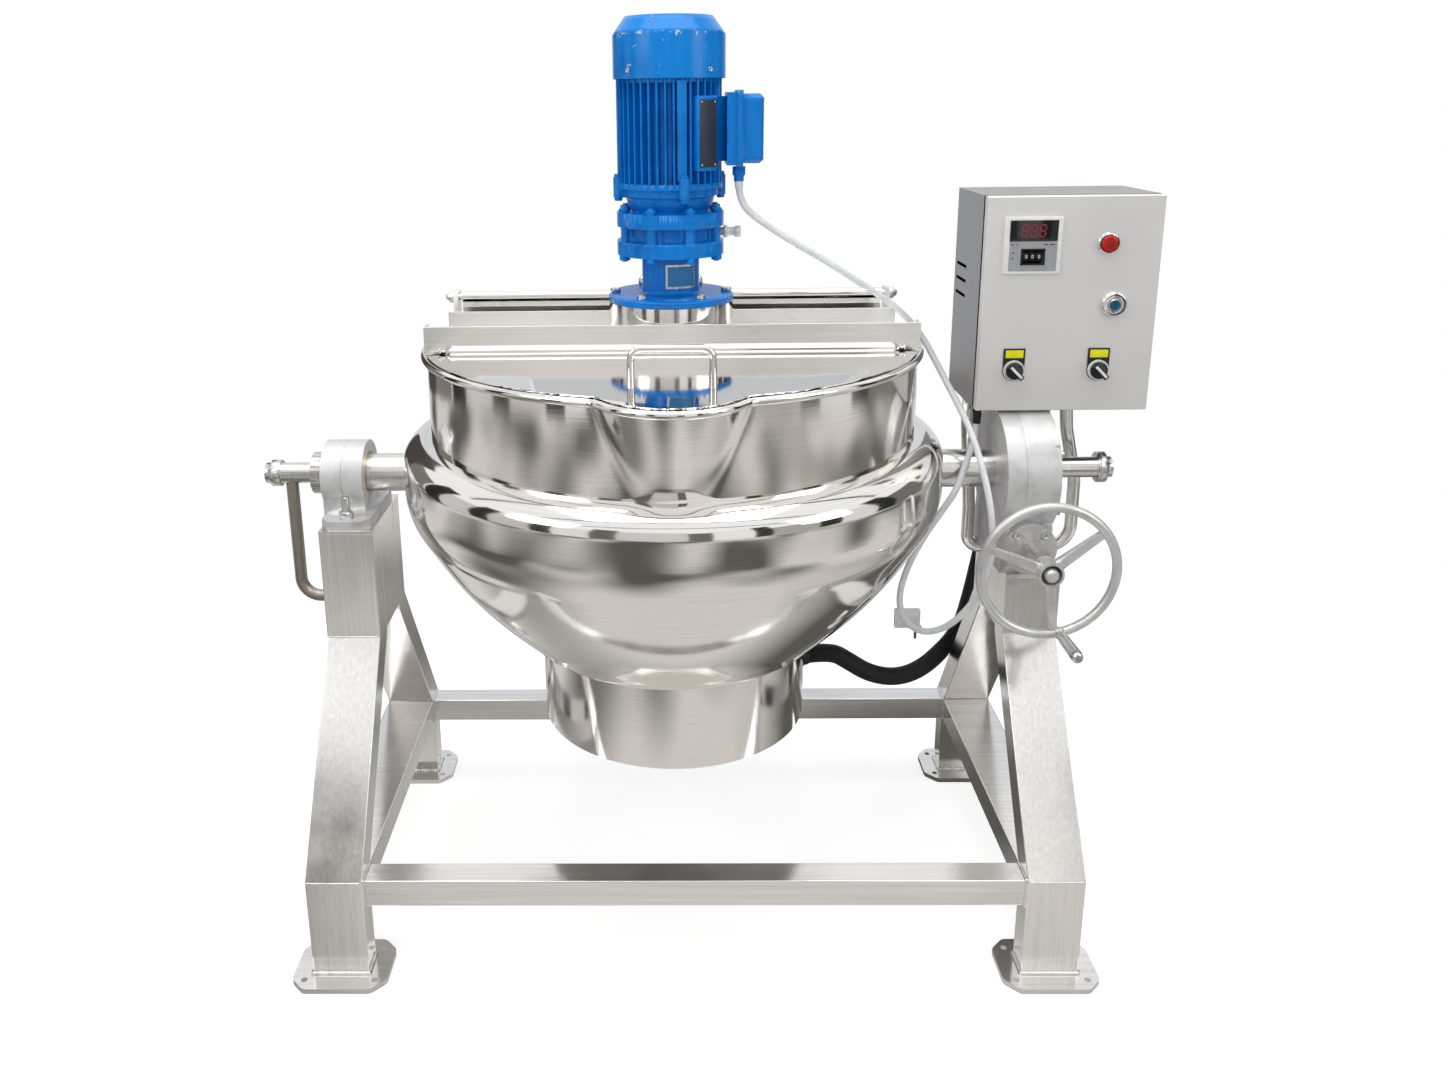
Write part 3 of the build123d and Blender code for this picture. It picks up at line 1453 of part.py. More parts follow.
def build():
    os.makedirs("parts", exist_ok=True)
    sides = (("left", -1, column_top_left), ("right", 1, column_top_right))
    panels = []
    side_rails = []
    for side_name, side, top in sides:
        tube_top = top - cap_thick
        write(f"legs_{side_name}", leg(side, -1, tube_top), leg(side, 1, tube_top))
        panels.append(column_panel(side, tube_top))
        side_rails.append(side_rail(side, tube_top))
    caps = [cap_plate(-1, column_top_left), cap_plate(1, column_top_right)]
    write("column_panels", *panels, *caps)
    write("side_rails", *side_rails)
    write("cross_rails", cross_rail(-1), cross_rail(1))
    write("foot_plates", *[foot_plate(side, end) for side in (-1, 1) for end in (-1, 1)])
    write("bearing_housing", bearing_housing())
    write("bearing_bush", bearing_bush())
    write("stand_bolts", *bearing_bolts(), *gearbox_screws())
    write("inlet_pipe", inlet_pipe(), stay_rod())
    write("gearbox_housing", gearbox_housing())
    write("gearbox_cover", gearbox_cover())
    write("worm_bearings", worm_flange(), *worm_flange_screws(), worm_bush())
    write("worm_shaft", worm())
    write("handwheel", handwheel(), hub_nut())
    write("handwheel_grip", grip())
    write("inner_pot", inner_pot())
    write("jacket", jacket())
    write("skirt", skirt(), skirt_cover())
    write("heaters", *heaters(), *heater_glands())
    write("trunnions", trunnion(-1), trunnion(1))
    write("shaft_packings", packing(-1), packing(1))
    write("lock_rings", lock_ring(-1), lock_ring(1))
    write("outlet_pipe", outlet_pipe())
    write("worm_wheel", worm_wheel())
    write("bridge", bridge())
    write("pedestal", pedestal())
    write("shaft_bush", shaft_bush())
    write("front_hinge", front_hinge())
    write("rear_hinge", *rear_hinge_posts(), rear_hinge_rod())
    write("front_lid", front_lid(), lid_handle(-1))
    write("rear_lid", rear_lid(), lid_handle(1))
    write("reducer_base", reducer_base())
    write("reducer_ring", ring_housing(), oil_filler())
    write("drive_bolts", *base_bolts(), *reducer_studs(), *motor_bolts())
    write("motor_shield", motor_shield())
    write("motor_stator", motor_stator())
    write("terminal_box", terminal_box(), terminal_lid())
    write("fan_cowl", fan_cowl())
    write("motor_rotor", rotor())
    write("cooling_fan", cooling_fan())
    write("agitator_shaft", agitator_shaft())
    write("anchor_frame", anchor_frame())
    write("scrapers", *scrapers())
    write("box_body", box_body())
    write("box_components", mounting_plate(), *box_components())
    write("box_posts", *box_posts())
    write("box_door", box_door(), *legend_plates())
    write("controller", controller(), number_wheel_pin(), lamp(), lock_rose(), *[switch_body(p) for p in switch_places])
    write("lock_barrel", lock_barrel())
    write("switch_left", switch_knob(switch_places[0]))
    write("switch_right", switch_knob(switch_places[1]))
    for index in range(3):
        write(f"number_wheel_{index + 1}", number_wheel(index))
    write("motor_cable", cord(cable_route, cable_radius, "motor cable"))
    write("conduit", cord(conduit_route, conduit_radius, "conduit"))
    write("cable_clip", cable_clip())
    write("kettle_glands", motor_cable_gland(), skirt_gland())
    write("box_glands", box_cable_gland(), box_conduit_gland())


build()
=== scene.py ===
import json
import math

import bmesh
import bpy
from mathutils import Matrix, Vector


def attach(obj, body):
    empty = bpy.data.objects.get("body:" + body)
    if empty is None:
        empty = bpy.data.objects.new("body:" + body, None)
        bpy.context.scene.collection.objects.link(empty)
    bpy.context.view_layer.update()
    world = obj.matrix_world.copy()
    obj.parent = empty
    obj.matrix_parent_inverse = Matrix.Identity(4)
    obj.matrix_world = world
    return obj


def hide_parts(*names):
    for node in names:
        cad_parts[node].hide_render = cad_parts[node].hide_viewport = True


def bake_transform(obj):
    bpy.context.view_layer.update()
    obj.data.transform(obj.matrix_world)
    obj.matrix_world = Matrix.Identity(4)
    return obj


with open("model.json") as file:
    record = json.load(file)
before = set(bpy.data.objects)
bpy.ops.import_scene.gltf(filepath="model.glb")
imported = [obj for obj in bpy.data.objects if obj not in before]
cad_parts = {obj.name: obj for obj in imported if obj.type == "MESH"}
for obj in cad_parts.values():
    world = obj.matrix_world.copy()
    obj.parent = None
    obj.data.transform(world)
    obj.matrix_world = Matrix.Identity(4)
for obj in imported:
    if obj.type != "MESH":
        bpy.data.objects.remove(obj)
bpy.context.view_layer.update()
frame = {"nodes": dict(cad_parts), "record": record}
nodes = frame["nodes"]

# Kettle axis and the depth of fine grinding lines, in metres
AXIS_X = -0.024
FINE_LINES = 0.000012


# Materials

def assign(node, **values):
    """Sets a node's sockets (given by name) and its properties."""
    for key, value in values.items():
        socket = key.replace("_", " ")
        if socket in node.inputs.keys():
            node.inputs[socket].default_value = value
        else:
            setattr(node, key, value)
    return node


def add(tree, kind, *sources, **values):
    """New node with its values set and its first sockets fed from other sockets or numbers."""
    node = assign(tree.nodes.new("ShaderNode" + kind), **values)
    for socket, source in zip(node.inputs, sources):
        if isinstance(source, bpy.types.NodeSocket):
            tree.links.new(source, socket)
        else:
            socket.default_value = source
    return node


def result(tree, kind, *sources, **values):
    """First output of a new node."""
    return add(tree, kind, *sources, **values).outputs[0]


def new_material(name, **values):
    """Material with one Principled shader and its constants."""
    made = bpy.data.materials.new(name)
    made.use_nodes = True
    tree = made.node_tree
    return made, tree, assign(tree.nodes["Principled BSDF"], **values)


def object_point(tree, scale=(1, 1, 1), shift=(0, 0, 0)):
    """Object coordinates, stretched and moved."""
    coords = add(tree, "TexCoord")
    return result(tree, "Mapping", coords.outputs["Object"], Scale=scale, Location=shift)


def round_point(tree, scale):
    """Coordinates round the kettle axis: angle, distance from the axis and height, stretched."""
    point = object_point(tree, shift=(-AXIS_X, 0, 0))
    x, y, z = add(tree, "SeparateXYZ", point).outputs
    turn = result(tree, "Math", y, x, operation="ARCTAN2")
    flat = result(tree, "VectorMath", point, (1, 1, 0), operation="MULTIPLY")
    reach = add(tree, "VectorMath", flat, operation="LENGTH").outputs["Value"]
    joined = result(tree, "CombineXYZ", turn, reach, z)
    return result(tree, "VectorMath", joined, scale, operation="MULTIPLY")


def noise(tree, point, scale, detail, rough=0.5):
    """Cloudy pattern."""
    node = add(tree, "TexNoise", point, Scale=scale, Detail=detail, Roughness=rough)
    return node.outputs["Fac"]


def spread(tree, value, low, high, source=(0.3, 0.7)):
    """Stretches a pattern to a range of numbers."""
    node = add(tree, "MapRange", value, From_Min=source[0], From_Max=source[1],
               To_Min=low, To_Max=high)
    return node.outputs["Result"]


def tint(tree, value, low, high, source=(0.3, 0.7)):
    """Colour that follows a pattern between two colours."""
    node = add(tree, "ValToRGB", value)
    first, second = node.color_ramp.elements
    first.position, second.position = source
    first.color = (*low, 1)
    second.color = (*high, 1)
    return node.outputs["Color"]


def toned(colour, share):
    """Darker tone of a colour."""
    return tuple(channel * share for channel in colour)


def cover(tree, shader, colour, rough, *heights):
    """Feeds a shader with a colour, a roughness and height patterns (value, depth in metres)."""
    tree.links.new(colour, shader.inputs["Base Color"])
    tree.links.new(rough, shader.inputs["Roughness"])
    normal = None
    for value, depth in heights:
        node = add(tree, "Bump", Strength=1.0, Distance=depth)
        tree.links.new(value, node.inputs["Height"])
        if normal:
            tree.links.new(normal, node.inputs["Normal"])
        normal = node.outputs["Normal"]
    tree.links.new(normal, shader.inputs["Normal"])


def polished_steel(name, point_of, low=0.05, high=0.13, wave=0.0006, base=(0.88, 0.86, 0.83)):
    """Mirror-polished sheet with faint grinding lines and a little waviness."""
    made, tree, shader = new_material(name, Metallic=1.0)
    point = object_point(tree)
    lines = noise(tree, point_of(tree), 1.0, 3.0, 0.6)
    cloud = noise(tree, point, 7.0, 3.0)
    cover(tree, shader, tint(tree, lines, toned(base, 0.90), base), spread(tree, cloud, low, high),
          (noise(tree, point, 5.0, 1.0), wave), (lines, FINE_LINES))
    return made


def ground_steel(name, scale, low, high, base, lines_depth=0.00002, swell=0.0001):
    """Ground tube or bar with lines along it and cloudy patches."""
    made, tree, shader = new_material(name, Metallic=1.0)
    point = object_point(tree)
    lines = noise(tree, object_point(tree, scale), 1.0, 4.0, 0.65)
    cloud = noise(tree, point, 11.0, 4.0)
    cover(tree, shader, tint(tree, lines, toned(base, 0.86), base), spread(tree, cloud, low, high),
          (lines, lines_depth), (noise(tree, point, 6.0, 1.0), swell))
    return made


def satin_sheet(name, base, low, high, metallic):
    """Pale satin sheet that looks much the same from all sides, with faint grain and clouds."""
    made, tree, shader = new_material(name, Metallic=metallic)
    grain = noise(tree, object_point(tree, (5.0, 5.0, 520.0)), 1.0, 3.0, 0.6)
    cloud = noise(tree, object_point(tree), 6.0, 3.0)
    cover(tree, shader, tint(tree, cloud, toned(base, 0.94), base), spread(tree, cloud, low, high),
          (grain, FINE_LINES))
    return made


def chipped_paint(name, base, dark, edges=()):
    """Glossy enamel with small chips, most of them where a height lies near an edge."""
    made, tree, shader = new_material(name, Coat_Weight=0.10, Coat_Roughness=0.08, Specular_IOR_Level=0.22)
    point = object_point(tree)
    cloud = noise(tree, point, 18.0, 4.0, 0.6)
    spots = noise(tree, point, 95.0, 3.0, 0.7)
    worn = spread(tree, spots, 0.0, 1.0, (0.76, 0.78))
    height = add(tree, "SeparateXYZ", point).outputs["Z"]
    for edge in edges:
        off = result(tree, "Math", height, edge, operation="SUBTRACT")
        size = result(tree, "Math", off, operation="ABSOLUTE")
        near = spread(tree, size, 0.13, 0.0, (0.0, 0.006))
        raised = result(tree, "Math", spots, near, operation="ADD")
        edge_worn = spread(tree, raised, 0.0, 1.0, (0.69, 0.71))
        worn = result(tree, "Math", worn, edge_worn, operation="MAXIMUM")
    mixed = add(tree, "Mix", worn, data_type="RGBA")
    skin, chip = mixed.inputs[6], mixed.inputs[7]
    tree.links.new(tint(tree, cloud, dark, base, (0.25, 0.5)), skin)
    chip.default_value = (0.55, 0.56, 0.56, 1)
    cover(tree, shader, mixed.outputs[2], spread(tree, cloud, 0.20, 0.32),
          (noise(tree, point, 210.0, 3.0), 0.00008), (cloud, 0.0002))
    return made


def paint(name, base, dark, rough, grain, grain_scale, metallic):
    """Painted casting with a slightly uneven skin and darker patches of dirt spread at random."""
    made, tree, shader = new_material(name, Metallic=metallic)
    point = object_point(tree)
    cloud = noise(tree, point, 24.0, 5.0, 0.6)
    cover(tree, shader, tint(tree, cloud, dark, base, (0.25, 0.55)), spread(tree, cloud, *rough),
          (noise(tree, point, grain_scale, 3.0), grain), (noise(tree, point, 45.0, 2.0), grain * 2))
    return made


def plastic(name, base, rough, grain=0.00004, coat=0.0):
    """Moulded plastic or printed film with a fine grain."""
    made, tree, shader = new_material(name, Coat_Weight=coat, Specular_IOR_Level=0.3)
    point = object_point(tree)
    cloud = noise(tree, point, 60.0, 3.0)
    cover(tree, shader, tint(tree, cloud, toned(base, 0.88), base),
          spread(tree, cloud, rough * 0.85, rough * 1.15), (noise(tree, point, 900.0, 2.0), grain))
    return made


def round_lines(tree):
    """Grinding lines round the kettle."""
    return round_point(tree, (3.0, 40.0, 900.0))


def flat_lines(tree):
    """Grinding lines along a sheet."""
    return object_point(tree, (6.0, 700.0, 700.0))


steel_round = polished_steel("polished_round_steel", round_lines)
steel_wall = polished_steel("polished_pot_wall", round_lines, 0.06, 0.13, 0.0003, (0.90, 0.87, 0.84))
steel_lid = polished_steel("polished_lid_steel", flat_lines, 0.03, 0.09, 0.0003)
steel_band = polished_steel("polished_band_steel", flat_lines, 0.24, 0.34, 0.0001, (0.94, 0.93, 0.91))
rod_bright = ground_steel("drawn_rod_steel", (12.0, 300.0, 300.0), 0.22, 0.30, (0.58, 0.57, 0.56))
tube_upright = ground_steel("ground_upright_tube", (220.0, 220.0, 6.0), 0.13, 0.24, (0.97, 0.95, 0.925),
                            FINE_LINES, 0.00025)
tube_rail = ground_steel("ground_rail_tube", (4.0, 220.0, 220.0), 0.14, 0.24, (0.88, 0.865, 0.85),
                         FINE_LINES, 0.00025)
turned_steel = ground_steel("turned_steel", (500.0, 14.0, 14.0), 0.16, 0.26, (0.76, 0.75, 0.73))
bolt_steel = ground_steel("bolt_steel", (90.0, 90.0, 90.0), 0.22, 0.34, (0.72, 0.71, 0.69))
rod_satin = ground_steel("satin_rod_steel", (12.0, 260.0, 260.0), 0.30, 0.40, (0.46, 0.42, 0.37))
weld_steel = ground_steel("bright_weld", (240.0, 240.0, 240.0), 0.20, 0.34, (0.86, 0.85, 0.83), 0.00006)
blue_paint = chipped_paint("blue_enamel", (0.0005, 0.185, 0.60), (0.0004, 0.115, 0.42))
cowl_blue = chipped_paint("blue_cowl_enamel", (0.0005, 0.215, 0.66), (0.0004, 0.150, 0.50), (1.297,))
silver_paint = paint("silver_casting", (0.70, 0.70, 0.70), (0.50, 0.50, 0.50), (0.36, 0.48), 0.0001, 230.0,
                     0.45)
wheel_paint = paint("silver_wheel", (0.68, 0.68, 0.67), (0.50, 0.50, 0.49), (0.28, 0.40), 0.00005, 240.0,
                    0.6)
bronze = ground_steel("machined_bronze", (300.0, 300.0, 300.0), 0.3, 0.4, (0.55, 0.36, 0.15))
# Box body: the door's steel sheet darkened into painted shade, so that its sides look as dark as shaded sides
shaded_box_sheet = satin_sheet("shaded_box_sheet", (0.31, 0.30, 0.285), 0.18, 0.26, 1.0)
door_sheet = satin_sheet("door_sheet", (0.80, 0.79, 0.77), 0.38, 0.46, 0.55)
black_plastic = plastic("black_plastic", (0.018, 0.018, 0.020), 0.38)
white_plastic = plastic("white_plastic", (0.80, 0.80, 0.77), 0.35)
grey_plastic = plastic("grey_plastic", (0.34, 0.36, 0.37), 0.45)
cable_white = plastic("white_cable_sheath", (0.80, 0.81, 0.83), 0.34, 0.000008)
conduit_black = plastic("black_conduit", (0.016, 0.016, 0.017), 0.36, 0.00001)
packing = plastic("white_packing", (0.78, 0.77, 0.72), 0.5)
display_black = plastic("display_window", (0.012, 0.012, 0.014), 0.12, 0.000002, 0.6)
digit_red = plastic("display_digit", (0.27, 0.025, 0.030), 0.4)
lens_red = plastic("red_lens", (0.52, 0.002, 0.004), 0.2, 0.00001, 0.1)
lens_core = plastic("red_lens_core", (0.22, 0.020, 0.016), 0.3)
label_yellow = plastic("yellow_label", (0.84, 0.80, 0.008), 0.5, 0.000005)
lock_blue = plastic("blue_lock_core", (0.002, 0.10, 0.18), 0.3, 0.00002, 0.1)
plate_dark = plastic("dark_plate", (0.035, 0.045, 0.060), 0.3, 0.00001)
tail_brown = plastic("brown_clip_tail", (0.20, 0.09, 0.03), 0.45)
plate_field = plastic("bare_plate_field", (0.03, 0.20, 0.40), 0.35)
chrome = ground_steel("bright_chrome", (60.0, 60.0, 60.0), 0.05, 0.10, (0.86, 0.86, 0.86), 0.000002, 0.00001)

FINISHES = (
    (black_plastic, "box_glands cooling_fan kettle_glands number_wheel_1 number_wheel_2 number_wheel_3 "
                    "switch_left switch_right"),
    (blue_paint, "motor_shield motor_stator reducer_base reducer_ring terminal_box"),
    (bolt_steel, "drive_bolts stand_bolts"),
    (shaded_box_sheet, "box_body"),
    (bronze, "bearing_bush worm_wheel"),
    (cable_white, "motor_cable"),
    (conduit_black, "conduit"),
    (cowl_blue, "fan_cowl"),
    (door_sheet, "box_door"),
    (grey_plastic, "box_components"),
    (packing, "scrapers shaft_bush shaft_packings"),
    (rod_bright, "front_hinge"),
    (silver_paint, "bearing_housing gearbox_cover gearbox_housing"),
    (steel_band, "bridge rear_hinge"),
    (steel_lid, "front_lid rear_lid"),
    (steel_round, "inner_pot jacket pedestal skirt"),
    (tube_rail, "cross_rails foot_plates side_rails"),
    (tube_upright, "anchor_frame box_posts column_panels legs_left legs_right"),
    (turned_steel, "agitator_shaft handwheel_grip heaters inlet_pipe lock_barrel lock_rings "
                   "motor_rotor outlet_pipe trunnions worm_shaft"),
    (wheel_paint, "handwheel worm_bearings"),
    (white_plastic, "cable_clip controller"),
)
node_finish = {node: finish for finish, members in FINISHES for node in members.split()}
for node, finish in node_finish.items():
    data = nodes[node].data
    data.materials.clear()
    data.materials.append(finish)


# Pieces

body_of_node = {node: body for body, members in frame["record"]["behaviour"]["bodies"].items()
                for node in members}


def settle(piece, name, node, finish, replaced=(), rides=True):
    """Names a finished piece and ties it to the body of its CAD node."""
    piece.name = name
    piece.data.materials.clear()
    piece.data.materials.append(finish)
    if rides:
        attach(piece, body_of_node[node])
    if replaced:
        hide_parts(*replaced)
    return piece


def select_only(piece):
    """Makes a piece the only selected one."""
    for other in bpy.context.selected_objects:
        other.select_set(False)
    piece.select_set(True)
    bpy.context.view_layer.objects.active = piece


def placed(name, data):
    """New object from its data, selected."""
    piece = bpy.data.objects.new(name, data)
    bpy.context.collection.objects.link(piece)
    select_only(piece)
    return piece


def applied(piece, modifier):
    """Puts a modifier's result into the mesh."""
    select_only(piece)
    bpy.ops.object.modifier_apply(modifier=modifier.name)


def smooth_by(degrees):
    """Shades the selected piece smooth, except at edges sharper than an angle."""
    bpy.ops.object.shade_smooth_by_angle(angle=math.radians(degrees))


def edit_all():
    """Opens the active mesh for editing, with everything selected."""
    bpy.ops.object.mode_set(mode="EDIT")
    bpy.ops.mesh.select_all(action="SELECT")


def end_edit():
    """Closes the mesh."""
    bpy.ops.object.mode_set(mode="OBJECT")


def edit_some(piece, kind, chosen):
    """Opens a mesh for editing, with only the chosen faces or edges selected."""
    bpy.ops.object.mode_set(mode="EDIT")
    bpy.ops.mesh.select_mode(type=kind)
    bpy.ops.mesh.select_all(action="DESELECT")
    work = bmesh.from_edit_mesh(piece.data)
    for item in work.faces if kind == "FACE" else work.edges:
        item.select_set(chosen(item))
    bmesh.update_edit_mesh(piece.data)


def bevelled(piece, width, segments, degrees, harden=False):
    """Rounds the edges sharper than an angle; the width is in millimetres."""
    modifier = piece.modifiers.new("corners", "BEVEL")
    modifier.width = width / 1000
    modifier.segments = segments
    modifier.limit_method = "ANGLE"
    modifier.angle_limit = math.radians(degrees)
    modifier.harden_normals = harden
    applied(piece, modifier)


def even_out(piece):
    """Lets the large faces steer the shading, so that long thin ones leave no streaks."""
    modifier = piece.modifiers.new("even", "WEIGHTED_NORMAL")
    modifier.keep_sharp = True
    modifier.weight = 90
    applied(piece, modifier)


MERGE = 0.00001
SHELL_MARGIN = 0.0006
FACING = 0.99


def merged_copy(node, inside_radius=None):
    """The node's own shape, merged and shaded smooth; of a turned node, only what lies near the axis."""
    piece = placed(node + "_smooth", nodes[node].data.copy())
    edit_all()
    bpy.ops.mesh.remove_doubles(threshold=MERGE)
    if inside_radius:
        work = bmesh.from_edit_mesh(piece.data)
        limit = inside_radius + SHELL_MARGIN
        far = [face for face in work.faces
               if max(math.hypot(vertex.co.x - AXIS_X, vertex.co.y) for vertex in face.verts) > limit]
        bmesh.ops.delete(work, geom=far, context="FACES")
        bmesh.update_edit_mesh(piece.data)
    end_edit()
    smooth_by(32)
    even_out(piece)
    return settle(piece, node + "_smooth", node, node_finish[node], (node,))


def rounded_copy(node, width):
    """The node's own shape with its sharp corners rounded, as drawn tube and cut plate have them."""
    piece = merged_copy(node)
    select_only(piece)
    edit_all()
    bpy.ops.mesh.dissolve_limited(angle_limit=math.radians(0.5))
    end_edit()
    bevelled(piece, width, 3, 30, harden=True)
    smooth_by(35)
    even_out(piece)


def coat_faces(piece, finish, low, high):
    """Gives a finish to the faces whose middle lies in a box (millimetres)."""
    if finish.name not in piece.data.materials:
        piece.data.materials.append(finish)
    index = piece.data.materials.find(finish.name)
    low = [value / 1000 for value in low]
    high = [value / 1000 for value in high]
    for face in piece.data.polygons:
        if all(low[axis] <= face.center[axis] <= high[axis] for axis in range(3)):
            face.material_index = index


SMOOTHED = (
    "trunnions lock_rings outlet_pipe inlet_pipe bearing_housing gearbox_housing gearbox_cover "
    "worm_bearings worm_shaft handwheel handwheel_grip fan_cowl motor_stator motor_shield reducer_base "
    "reducer_ring drive_bolts terminal_box rear_hinge front_hinge rear_lid front_lid box_posts "
    "controller switch_left switch_right lock_barrel agitator_shaft anchor_frame kettle_glands "
    "box_glands stand_bolts foot_plates bearing_bush cable_clip"
)
smoothed = {node: merged_copy(node) for node in SMOOTHED.split()}
for node in ("legs_left", "legs_right", "cross_rails", "side_rails", "column_panels"):
    rounded_copy(node, 1.4)
rounded_copy("bridge", 0.5)
rounded_copy("box_body", 0.9)
COATED = (
    # node, finish and the box of the coated faces' middles
    ("drive_bolts", blue_paint, (-200, -200, 960), (200, 200, 1400)),
    ("reducer_ring", silver_paint, (42.5, -20, 1015), (200, 20, 1041)),
    ("controller", lens_red, (576, -36, 994), (606, -28.2, 1022)),
    ("controller", chrome, (587, -32, 902), (625, -20, 940)),
    ("controller", black_plastic, (470, -28.9, 979), (500, -5, 1001)),
    ("controller", chrome, (575, -28.3, 992), (607, -24, 1024)),
    ("kettle_glands", blue_paint, (40, -60, 1080), (110, 20, 1130)),
    ("inlet_pipe", rod_satin, (-700, -100, 300), (-541, 100, 650)),
)
for node, finish, low, high in COATED:
    coat_faces(smoothed[node], finish, low, high)


# Turned sheet shells, from half profiles (radius, height) in millimetres

def turned_piece(name, outline, faces, edges, steps, arc, degrees):
    """Flat outline (metres) turned about the kettle axis."""
    mesh = bpy.data.meshes.new(name)
    mesh.from_pydata(outline, edges, faces)
    piece = placed(name, mesh)
    edit_all()
    bpy.ops.mesh.spin(steps=steps, angle=arc, center=(AXIS_X, 0, 0), axis=(0, 0, 1))
    bpy.ops.mesh.select_all(action="SELECT")
    bpy.ops.mesh.remove_doubles(threshold=2 * MERGE)
    bpy.ops.mesh.normals_make_consistent(inside=False)
    end_edit()
    smooth_by(degrees)
    return piece


def spun(name, profile, steps, node, finish):
    """Closed profile turned all the way round."""
    points = [(AXIS_X + radius / 1000, 0, height / 1000) for radius, height in profile]
    edges = [(index, (index + 1) % len(points)) for index in range(len(points))]
    piece = turned_piece(name, points, [], edges, steps, 2 * math.pi, 40)
    return settle(piece, name, node, finish, (node,))


def bent_line(points, count, start, end):
    """Even points on a smooth line through the given ones, with its directions at both ends."""
    last = len(points) - 1
    slopes = []
    for index in range(last + 1):
        before, after = points[max(index - 1, 0)], points[min(index + 1, last)]
        slopes.append(((after[0] - before[0]) / 2, (after[1] - before[1]) / 2))
    slopes[0] = tuple(value * math.dist(points[0], points[1]) for value in start)
    slopes[-1] = tuple(value * math.dist(points[-1], points[-2]) for value in end)
    line = []
    for index in range(last):
        for step in range(count):
            t = step / count
            weights = (2 * t ** 3 - 3 * t ** 2 + 1, t ** 3 - 2 * t ** 2 + t,
                       3 * t ** 2 - 2 * t ** 3, t ** 3 - t ** 2)
            shape = (points[index], slopes[index], points[index + 1], slopes[index + 1])
            line.append(tuple(sum(w * value[axis] for w, value in zip(weights, shape)) for axis in (0, 1)))
    return line + [points[-1]]


def inset_line(line, thick):
    """The same line moved to its left by a sheet's thickness."""
    moved = []
    for index, point in enumerate(line):
        before, after = line[max(index - 1, 0)], line[min(index + 1, len(line) - 1)]
        length = math.dist(before, after)
        across = (-(after[1] - before[1]) / length, (after[0] - before[0]) / length)
        moved.append((max(point[0] + across[0] * thick, 0), point[1] + across[1] * thick))
    return moved


MID_X = AXIS_X * 1000
SHEET = 3.0
POT_RADIUS = 350.0
POT_DEPTH = 215.0
EQUATOR_Z = 673.0
RIM_Z = 866.0
BEAD = 5.5
JACKET_BOTTOM_Z = 372
COLLAR_RADIUS, COLLAR_TOP_Z = 353, 745
jacket_bowl = [(0, JACKET_BOTTOM_Z), (110, 384), (207, 416), (248, 450), (297, 500), (337, 550), (369, 600),
               (388.5, 637), (395, 673)]
collar = [(395, 707), (392.8, 721), (384, 733), (370.5, 741.5), (COLLAR_RADIUS, COLLAR_TOP_Z)]
jacket_line = bent_line(jacket_bowl, 7, (1, 0), (0, 1)) + [(395, 684), (395, 696)]
jacket_line += bent_line(collar, 6, (0, 1), (-1, 0.1))
jacket_inside = inset_line(jacket_line, SHEET)
jacket_inside[0] = (0, JACKET_BOTTOM_Z + SHEET)
jacket_inside[-1] = (COLLAR_RADIUS, COLLAR_TOP_Z - SHEET)
spun("jacket_shell", jacket_line + jacket_inside[::-1], 288, "jacket", steel_round)
SKIRT_RADIUS = 202
skirt_heights = (289, 330, 370, 413)
skirt_line = [(SKIRT_RADIUS, height) for height in skirt_heights]
skirt_line += [(SKIRT_RADIUS - SHEET, height) for height in reversed(skirt_heights)]
spun("skirt_shell", skirt_line, 288, "skirt", steel_round)
merged_copy("skirt", inside_radius=0.1985)
pedestal_line = [(0, 874.5), (90, 874.5), (90, 900), (90, 931), (0, 931)]
spun("pedestal_shell", pedestal_line, 192, "pedestal", steel_round)

# Spout: a dome of round sections in front of the wall, blended into it
SPOUT_HALF = 84.0
SPOUT_REACH = 45.0
SPOUT_BOTTOM = 760.0
spout_rise = POT_RADIUS + SPOUT_REACH - math.sqrt(POT_RADIUS ** 2 - SPOUT_HALF ** 2)
NOSE_RADIUS = (SPOUT_HALF ** 2 + spout_rise ** 2) / (2 * spout_rise)
NOSE_Y = POT_RADIUS + SPOUT_REACH - NOSE_RADIUS
exit_share = ((POT_RADIUS - NOSE_Y) / NOSE_RADIUS) ** 2
DOME_BOTTOM = (SPOUT_BOTTOM - exit_share * RIM_Z) / (1 - exit_share)
BLEND = 6.0
BLEND_LIMIT = 6
WALL_ROWS = 36
BOWL_ROWS = 20


def pot_reach(angle, height, radius, grow):
    """Distance of the wall from the axis in one direction: the round pot blended with the spout."""
    share = min(max((height - DOME_BOTTOM) / (RIM_Z - DOME_BOTTOM), 0), 1)
    nose = NOSE_RADIUS * math.sqrt(share) + grow
    along = -math.sin(angle) * NOSE_Y
    inside = nose ** 2 - NOSE_Y ** 2 + along ** 2
    if inside <= 0 or along <= 0:
        return radius
    dome = along + math.sqrt(inside)
    blend = BLEND * (2 - share)
    gap = (dome - radius) / blend
    if gap > BLEND_LIMIT:
        return dome
    rest = math.log(1 + math.exp(-BLEND_LIMIT)) if gap < -BLEND_LIMIT else 0
    return radius + blend * (math.log(1 + math.exp(gap)) - rest)


